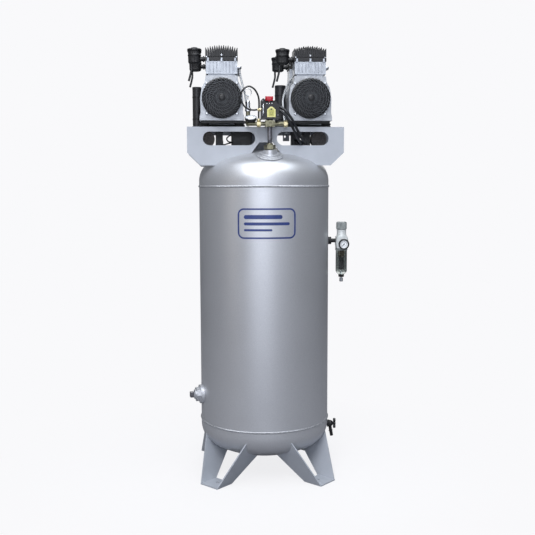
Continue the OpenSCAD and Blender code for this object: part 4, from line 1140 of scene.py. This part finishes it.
def switch():
    refined("switch_base", ABS, 1.0)
    refined("switch_cover", NYLON, 1.6)
    x, front, floor = RISER[0], SWITCH_LOW[1], SWITCH_LOW[2]
    out = turn("X", 90)
    label = Piece().add(prism([(-15.5, 0.5), (15.5, 0.5), (15.5, 28), (4, 38), (-4, 38), (-15.5, 28)], 0.5),
                        (x + 4, front, floor), out)
    label.make("switch_label", YELLOW, "black_plastic", sharp=40)
    panel = Piece().add(prism([(-10.5, 4.5), (10.5, 4.5), (10.5, 25), (3, 32.5), (-3, 32.5), (-10.5, 25)],
                              0.25), (x + 4, front - 0.5, floor), out)
    panel.make("switch_label_panel", OCHRE, "black_plastic", sharp=40)
    dot = Piece().add(revolve(rounded(2.8, 0.3, 0.1), 24), (x + 4, front - 0.75, floor + 29), out)
    dot.add(torus(5, 0.5, 40, 8), (x + 4, front - 0.7, floor + 14), out)
    dot.make("switch_label_dots", INK, "black_plastic")
    marks = Piece()
    for dx in (-9, 0, 9):
        marks.add(revolve(rounded(1.7, 0.5, 0.2), 24), (x - 3 + dx, front, floor + 50), out)
    marks.make("switch_marks", DIAL, "black_plastic")
    screws = Piece()
    for dx, z in ((-28, 8), (28, 8), (-28, 60)):
        screws.add(revolve(rounded(2.6, 1.4, 0.5), 24), (x + dx, front, floor + z), out)
    screws.make("cover_screws", PIPE, "polished_steel")
    low, high = box_mm("switch_knob")
    kx, ky = (low[0] + high[0]) / 2, (low[1] + high[1]) / 2
    top = high[2]
    knob = Piece()
    knob.add(fluted([(0, 0, 0), (13.0, 0, 0), (14.0, 0.8, 1), (14.2, 12, 1), (13.0, 13.6, 0), (0, 13.6, 0)],
                    20, 0.9),
             (kx, ky, top - 17))
    knob.add(prism([(-14.8, -2.4), (-13.6, -3.5), (13.6, -3.5), (14.8, -2.4), (14.8, 2.4), (13.6, 3.5),
                    (-13.6, 3.5),
                    (-14.8, 2.4)], 9.6), (kx, ky, top - 9.7))
    knob.add(revolve([(0, 0), (4, 0), (4, 32), (0, 32)], 32), (kx, ky, low[2]))
    knob.make("red_switch_knob", RED, "red_plastic", "pressure_switch_knob", "switch_knob", bevel=0.4)
    gland = Piece()
    for dy, dz in ((-4, 68), (-1, 54)):
        gland.add(revolve([(5.0, 0), (8, 0), (8.4, 1), (8.4, 4), (7, 6), (5.2, 7.5), (5.0, 7.5)], 40, True),
                  (SWITCH_HIGH[0] - 0.4, RISER[1] + dy, DECK_TOP + dz), turn("Y", 90))
    gland.make("cable_glands", RUBBER, "rubber")
    pin = Piece()
    pin.add(revolve([(0, 0), (3.6, 0), (4, 0.6), (4, 7), (3.2, 8), (3.2, 28), (2.6, 29), (2.6, 32),
                     (1.6, 34), (0, 34)], 32),
            (x - 26, front - 2.6, DECK_TOP + 43))
    pin.make("bleed_pin", PLATE, "polished_steel")


def gauge_face(at, facing, r, z_face, names, steps):
    """Dial card with its scale ticks and a printed arc band."""
    card, ink = Piece(), Piece()
    card.add(revolve([(0, z_face - 0.6), (r - 2.2, z_face - 0.6), (r - 2.2, z_face), (0, z_face)], 72), at,
             facing)
    for k in range(steps + 1):
        a = math.radians(225 - 270 * k / steps)
        long = 3.4 if k % 5 == 0 else 1.9
        mid = r - 4.0 - long / 2
        spot = (mid * math.cos(a), mid * math.sin(a), z_face + 0.08)
        turned = facing @ turn("Z", math.degrees(a))
        ink.add(block((long, 0.55 if k % 5 else 0.9, 0.16)), np.array(at) + facing @ np.array(spot), turned)
    band = np.linspace(math.radians(225), math.radians(-45), 61)
    arc = np.stack([(r - 8.6) * np.cos(band), (r - 8.6) * np.sin(band), np.full(61, z_face + 0.08)], -1)
    ink.add(sweep(arc, 0.25, section=[(-0.3, -0.08), (0.3, -0.08), (0.3, 0.08), (-0.3, 0.08)]), at, facing)
    card.make(names + "_dial", DIAL, "gauge_case")
    ink.make(names + "_scale", INK, "gauge_case", sharp=40)


def gauges():
    at = np.array([-60.0, RISER[1], DECK_TOP + 8])
    tilt = turn("X", 23.5)
    case = Piece()
    case.add(hexagonal(7.5, 7, 6, 0.92), at + tilt @ np.array([0, 0, 7.2]), tilt)
    case.add(revolve([(0, 9), (5, 9), (5, 13), (0, 13)], 32), at, tilt)
    case.add(revolve([(0, 12), (17, 12), (20.5, 13.5), (21.4, 15.5), (21.4, 22), (20.9, 22.6), (20.9, 23.4),
                      (0, 23.4)],
                     96), at, tilt)
    bezel = Piece().add(revolve([(20.9, 22.4), (22, 22.8), (22, 25.4), (21.5, 26), (20.9, 26), (20.6, 25.2),
                                 (20.6, 23.4)],
                                96, True), at, tilt)
    bezel.make("tank_gauge_bezel", PLATE, "gauge_case")
    case.make("tank_gauge_case", NYLON, "gauge_case", nodes="tank_gauge")
    gauge_face(at, tilt, 22.6, 24.0, "tank_gauge", 30)
    refined("tank_gauge_needle", INK, 0.15, "tank_needle")
    low, high = box_mm("regulator_gauge")
    centre = np.array([(low[0] + high[0]) / 2, high[1], (low[2] + high[2]) / 2])
    r = (high[0] - low[0]) / 2
    out = turn("X", 90)
    back = high[1] - low[1]
    case = Piece()
    case.add(revolve([(0, 0), (5, 0), (5, 4.2), (16, 4.2), (19.5, 5.4), (r - 0.5, 8), (r - 0.5, 14.5),
                      (r, 15.2),
                      (r, back - 0.8), (r - 0.8, back), (r - 4.4, back), (r - 5.0, back - 0.8),
                      (r - 5.0, back - 5.2), (0, back - 5.2)], 96), centre, out)
    case.make("regulator_gauge_case", NYLON, "gauge_case", nodes="regulator_gauge")
    gauge_face(centre, out, r - 2.8, back - 4.6, "regulator_gauge", 20)
    refined("regulator_needle", INK, 0.15, "outlet_needle")


def relief():
    """Safety valve: hex body, drum with turned grooves, cap, and the round pull ring."""
    low, high = box_mm("safety_valve")
    x, y = (low[0] + high[0]) / 2, (low[1] + high[1]) / 2
    body = Piece()
    body.add(hexagonal(11, 12, 6, 0.93), (x, y, low[2]))
    body.add(revolve([(2.05, 14), (8.0, 12), (8.5, 12.6), (8.5, 18), (7.6, 18.6), (7.6, 20), (8.5, 20.6),
                      (8.5, 34),
                      (7.4, 37), (6.2, 39.5), (4.6, 42), (2.05, 42)], 56, True), (x, y, low[2]))
    body.make("safety_valve_body", PLATE, "polished_steel", nodes="safety_valve")
    _, top = box_mm("safety_ring")
    ring = Piece()
    ring.add(torus(13, 1.6, 72, 14), (x, y, top[2] - 14.6), turn("X", 90))
    stem_low = box_mm("safety_ring")[0][2]
    ring.add(revolve([(0, 0), (2, 0), (2, 38), (0, 38)], 28), (x, y, stem_low))
    ring.add(revolve([(0, -3), (2.6, -3), (3.2, -1.5), (3.2, 1.5), (2.6, 3), (0, 3)], 28),
             (x, y, top[2] - 27.6))
    ring.make("pull_ring", PLATE, "polished_steel", "relief_ring", "safety_ring")


# ---------------------------------------------------------------- filter regulator and fittings


def regulator():
    refined("regulator_nipple", BLACK_STEEL, 0.5)
    z0, z1 = BODY_LOW[2], BODY_LOW[2] + 46
    body = Piece()
    half, corner = 22.0, 6.0
    a = np.linspace(0, math.pi / 2, 5)
    outline = []
    for sx, sy, start in ((1, 1, 0), (-1, 1, 90), (-1, -1, 180), (1, -1, 270)):
        for t in a + math.radians(start):
            outline.append((sx * (half - corner) + corner * math.cos(t),
                            sy * (half - corner) + corner * math.sin(t)))
    body.add(prism(outline, 46), (REG_X, 0, z0))
    body.add(revolve([(0, 0), (20.5, 0), (20.5, 4), (19.0, 6), (18.4, 20), (18.8, 27), (18.0, 28), (0, 28)],
                     72),
             (REG_X, 0, z1 - 0.2))
    for dx in (-1, 1):
        body.add(block((7, 30, 26), (REG_X + dx * 20.5, 0, z0 + 24)))
    end = BODY_HIGH[0]
    port_r = 6.6
    body.add(revolve([(port_r, 0), (port_r, end - REG_X - 19), (11, end - REG_X - 19), (11, 1), (10, 0)], 64,
                     True),
             (end, 0, BODY_LOW[2] + 30), turn("Y", -90))
    body.make("regulator_casting", REG_PAINT, "regulator_white", nodes="regulator_body", bevel=0.9, sharp=40)
    low = box_mm("regulator_knob")[0]
    knob = Piece()
    knob.add(fluted([(0, 0, 0), (19.6, 0, 0), (20.4, 0.6, 0), (20.4, 3, 0), (20.9, 3.6, 0), (21, 5, 1),
                     (21, 24, 1), (20.4, 27, 0.5), (18.5, 29.6, 0), (15, 30.8, 0), (13, 30.2, 0),
                     (0, 30.2, 0)], 36, 1.2),
             (REG_X, 0, low[2]))
    knob.make("regulator_ribbed_knob", REG_GREY, "regulator_grey", "pressure_knob", "regulator_knob")
    z = REG_LOW[2]
    top = BODY_LOW[2] - z
    bowl = Piece()
    r = (REG_HIGH[0] - REG_LOW[0]) / 2
    outside = [(4.1, 0), (9, 0), (9, 10), (r - 12, 10), (r - 7, 12.5), (r - 2.6, 17.5), (r - 0.6, 22),
               (r, 27),
               (r, top - 3), (r, top)]
    inside = [(r - 2.5, top), (r - 2.5, 28), (r - 3.2, 24.5), (r - 6, 22), (4.1, 22)]
    bowl.add(revolve(outside + inside, 72, True), (REG_X, 0, z))
    bowl.make("clear_bowl_shell", CLEAR, "clear_bowl", nodes="regulator_bowl", sharp=50)
    element = Piece()
    element.add(fluted([(0, 32, 0), (8.6, 32, 0), (10, 33.5, 1), (10, 80, 1), (8.6, 81.5, 0), (0, 81.5, 0)],
                       22, 1.2),
                (REG_X, 0, z))
    element.add(revolve([(0, 28.5), (7, 28.5), (11, 29.5), (11, 30.5), (4, 32), (0, 32)], 48), (REG_X, 0, z))
    element.make("filter_element", NYLON, "dark_plastic")
    baffle = Piece()
    baffle.add(fluted([(0, 81.5, 0), (9, 81.5, 0), (11.0, 84, 1), (12.5, 96, 1), (14.5, top - 3, 0.4),
                       (18.6, top - 2, 0),
                       (18.6, top - 0.4, 0), (0, top - 0.4, 0)], 16, 1.8), (REG_X, 0, z))
    baffle.make("swirl_baffle", BRONZE, "dark_plastic")
    neck = Piece()
    neck.add(fluted([(9.1, -0.2, 0), (10.6, -0.2, 0), (11, 1, 1), (11.6, 9, 1), (12, 9.6, 0), (9.1, 9.6, 0)],
                    20, 0.8),
             (REG_X, 0, z))
    neck.make("bowl_neck_ring", NYLON, "dark_plastic")
    collar = Piece()
    collar.add(revolve([(r + 0.1, top - 9), (r + 1.6, top - 8.6), (r + 1.8, top - 6), (r + 1.6, top - 0.2),
                        (r + 0.1, top - 0.2)],
                       72, True), (REG_X, 0, z))
    collar.make("bowl_collar", REG_GREY, "regulator_grey")
    refined("bowl_drain", PLATE, 0.6, "bowl_drain_button")


def side_fittings():
    refined("side_bung", SILVER, 1.2)
    refined("drain_valve", NYLON, 0.6)
    refined("drain_handle", NYLON, 1.0, "drain_cock_handle")
    low, high = box_mm("drain_handle")
    z = (low[2] + high[2]) / 2
    wings = Piece()
    for side in (-1, 1):
        wings.add(hexagonal(8.4, 9, 12, 0.84), (high[0] - 9.2, 0, z + side * 12.4), turn("Y", 90))
    wings.make("handle_wings", NYLON, "black_plastic", "drain_cock_handle")
    low, high = box_mm("side_bung")
    spin = turn("Z", 192)
    reach = TANK_R + 50
    plug = Piece()
    plug.add(prism([(-9.4, -10.4), (9.4, -10.4), (10.4, -9.4), (10.4, 9.4), (9.4, 10.4), (-9.4, 10.4),
                    (-10.4, 9.4),
                    (-10.4, -9.4)], 14.5), spin @ np.array([reach - 14.4, 0, 0]) + (0, 0,
                                                                                    (low[2] + high[2]) / 2),
             spin @ turn("Y", 90))
    plug.make("bung_plug", PIPE, "weld_steel", bevel=0.8)
    collar = Piece()
    collar.add(hexagonal(15, 9, 6, 0.93), (TANK_R + 2, 0, z), turn("Y", 90))
    collar.add(torus(7.2, 1.4, 48, 12), (TANK_R + 17, 0, z - 30), turn("Y", -10))
    collar.make("drain_valve_nut", NYLON, "black_plastic")


SILENCER_X = 222.0     # a silencer's axis from the middle of the deck
SILENCER_FRONT = 30.0
SILENCER_LEN = 55.0


def silencers():
    """Round silencers under the deck: a ribbed drum with rings stepped into its front."""
    low, high = box_mm("silencers")
    r = (high[0] - low[0]) / 2 - SILENCER_X
    piece, straps = Piece(), Piece()
    rings = [(0, 0)]
    for k in range(5):
        edge = r - 4 - 5.2 * (4 - k)
        rings += [(edge - 3.0, 0), (edge - 2.4, 1.6), (edge - 0.6, 1.6), (edge, 0)]
    drum = rings + [(r - 1.5, 0), (r, 1.5), (r, 8), (r - 1, 9), (r - 1, 11), (r, 12), (r, SILENCER_LEN - 1.5),
                    (r - 1.5, SILENCER_LEN),
                    (0, SILENCER_LEN)]
    for sx, _ in PUMPS:
        at = (sx * SILENCER_X, SILENCER_FRONT + SILENCER_LEN, low[2] + r)
        piece.add(revolve([(rr, SILENCER_LEN - h) for rr, h in drum[::-1]], 72), at, turn("X", 90))
        straps.add(block((24, 38, 8), (sx * SILENCER_X, SILENCER_FRONT + SILENCER_LEN / 2, high[2] - 4)))
    piece.make("silencer_drums", DRUM, "dark_plastic", nodes="silencers", sharp=40)
    straps.make("silencer_saddles", BLACK_STEEL, "black_steel", bevel=0.8)
    lead = smooth_path([(-125, 44, DECK_TOP - 22), (-134, 40, DECK_TOP - 25), (-144, 36, DECK_TOP - 36),
                        (-136, 34, DECK_TOP - 48),
                        (-120, 20, DECK_TOP - 50), (-140, 14, DECK_TOP - 56), (-158, 24, DECK_TOP - 60),
                        (-160, 36, DECK_TOP - 50),
                        (-160, 44, DECK_TOP - 44)], 10)
    Piece().add(sweep(lead, 2.6, 14)).make("box_lead", SHEATH, "cable_black", sharp=50)


receiver()
legs_and_deck()
guards()
heads()
barrels()
pump_fasteners()
filters()
motors()
mountings()
hoses()
port()
manifold()
switch()
gauges()
relief()
regulator()
side_fittings()
silencers()


# ---------------------------------------------------------------- studio


def studio():
    """Pale floor, soft lights and a camera at standing height in front of the machine."""
    mesh = bpy.data.meshes.new("floor")
    mesh.from_pydata([(-9, -9, 0), (9, -9, 0), (9, 9, 0), (-9, 9, 0)], [], [(0, 1, 2, 3)])
    mesh.materials.append(studio_floor())
    floor = bpy.data.objects.new("floor", mesh)
    bpy.context.scene.collection.objects.link(floor)

    world = bpy.data.worlds.new("studio")
    world.use_nodes = True
    tree = world.node_tree
    tree.nodes.clear()
    seen = add(tree, "ShaderNodeBackground", None, {"Color": linear("#F9F9FB"), "Strength": 1.0})
    lit = add(tree, "ShaderNodeBackground", None, {"Color": linear("#E6EAF0"), "Strength": 0.27})
    path = add(tree, "ShaderNodeLightPath")
    straight = add(tree, "ShaderNodeMath", {"operation": "MAXIMUM"},
                   {0: path.outputs["Is Camera Ray"], 1: path.outputs["Is Transmission Ray"]})
    mix = add(tree, "ShaderNodeMixShader", None, {0: straight.outputs[0], 1: lit.outputs[0],
                                                  2: seen.outputs[0]})
    add(tree, "ShaderNodeOutputWorld", None, {"Surface": mix.outputs[0]})
    bpy.context.scene.world = world

    def softbox(name, at, aim, size, power, colour="#FFFFFF"):
        light = bpy.data.lights.new(name, "AREA")
        light.shape, light.size, light.size_y = "RECTANGLE", size[0], size[1]
        light.energy = power
        light.color = linear(colour)[:3]
        lamp = bpy.data.objects.new(name, light)
        lamp.location = at
        lamp.rotation_euler = (Vector(aim) - Vector(at)).to_track_quat("-Z", "Y").to_euler()
        bpy.context.scene.collection.objects.link(lamp)

    softbox("key", (-1.0, -3.8, 4.7), (0, 0, 0.9), (2.6, 2.0), 160, "#FCFCFF")
    softbox("front", (-0.6, -4.6, 1.6), (0, 0, 1.0), (2.9, 2.2), 56, "#EEF3FF")
    softbox("right", (1.9, -3.9, 2.0), (0, 0, 0.9), (1.0, 2.2), 8, "#E6EDFF")
    softbox("left", (-3.4, -2.2, 1.4), (0, 0, 0.9), (0.8, 1.8), 5, "#FFF3E6")
    softbox("top", (0.1, -0.7, 3.6), (0, 0, 1.3), (2.8, 2.2), 70, "#F2F8FF")
    softbox("rim", (0.6, 3.4, 2.8), (0, 0, 1.2), (2.4, 2.0), 50)

    camera = bpy.data.objects.new("camera", bpy.data.cameras.new("camera"))
    camera.location = (-0.218, -3.198, 1.1457)
    forward = Vector((0.07188, 0.99196, -0.10419))
    roll = Matrix.Rotation(math.radians(-0.14), 4, "Z")
    camera.rotation_euler = (forward.to_track_quat("-Z", "Y").to_matrix().to_4x4() @ roll).to_euler()
    camera.data.sensor_width = 36
    camera.data.lens = 54.46
    camera.data.clip_start, camera.data.clip_end = 0.05, 100
    bpy.context.scene.collection.objects.link(camera)
    bpy.context.scene.camera = camera
    bpy.context.scene.view_settings.view_transform = "Standard"


studio()
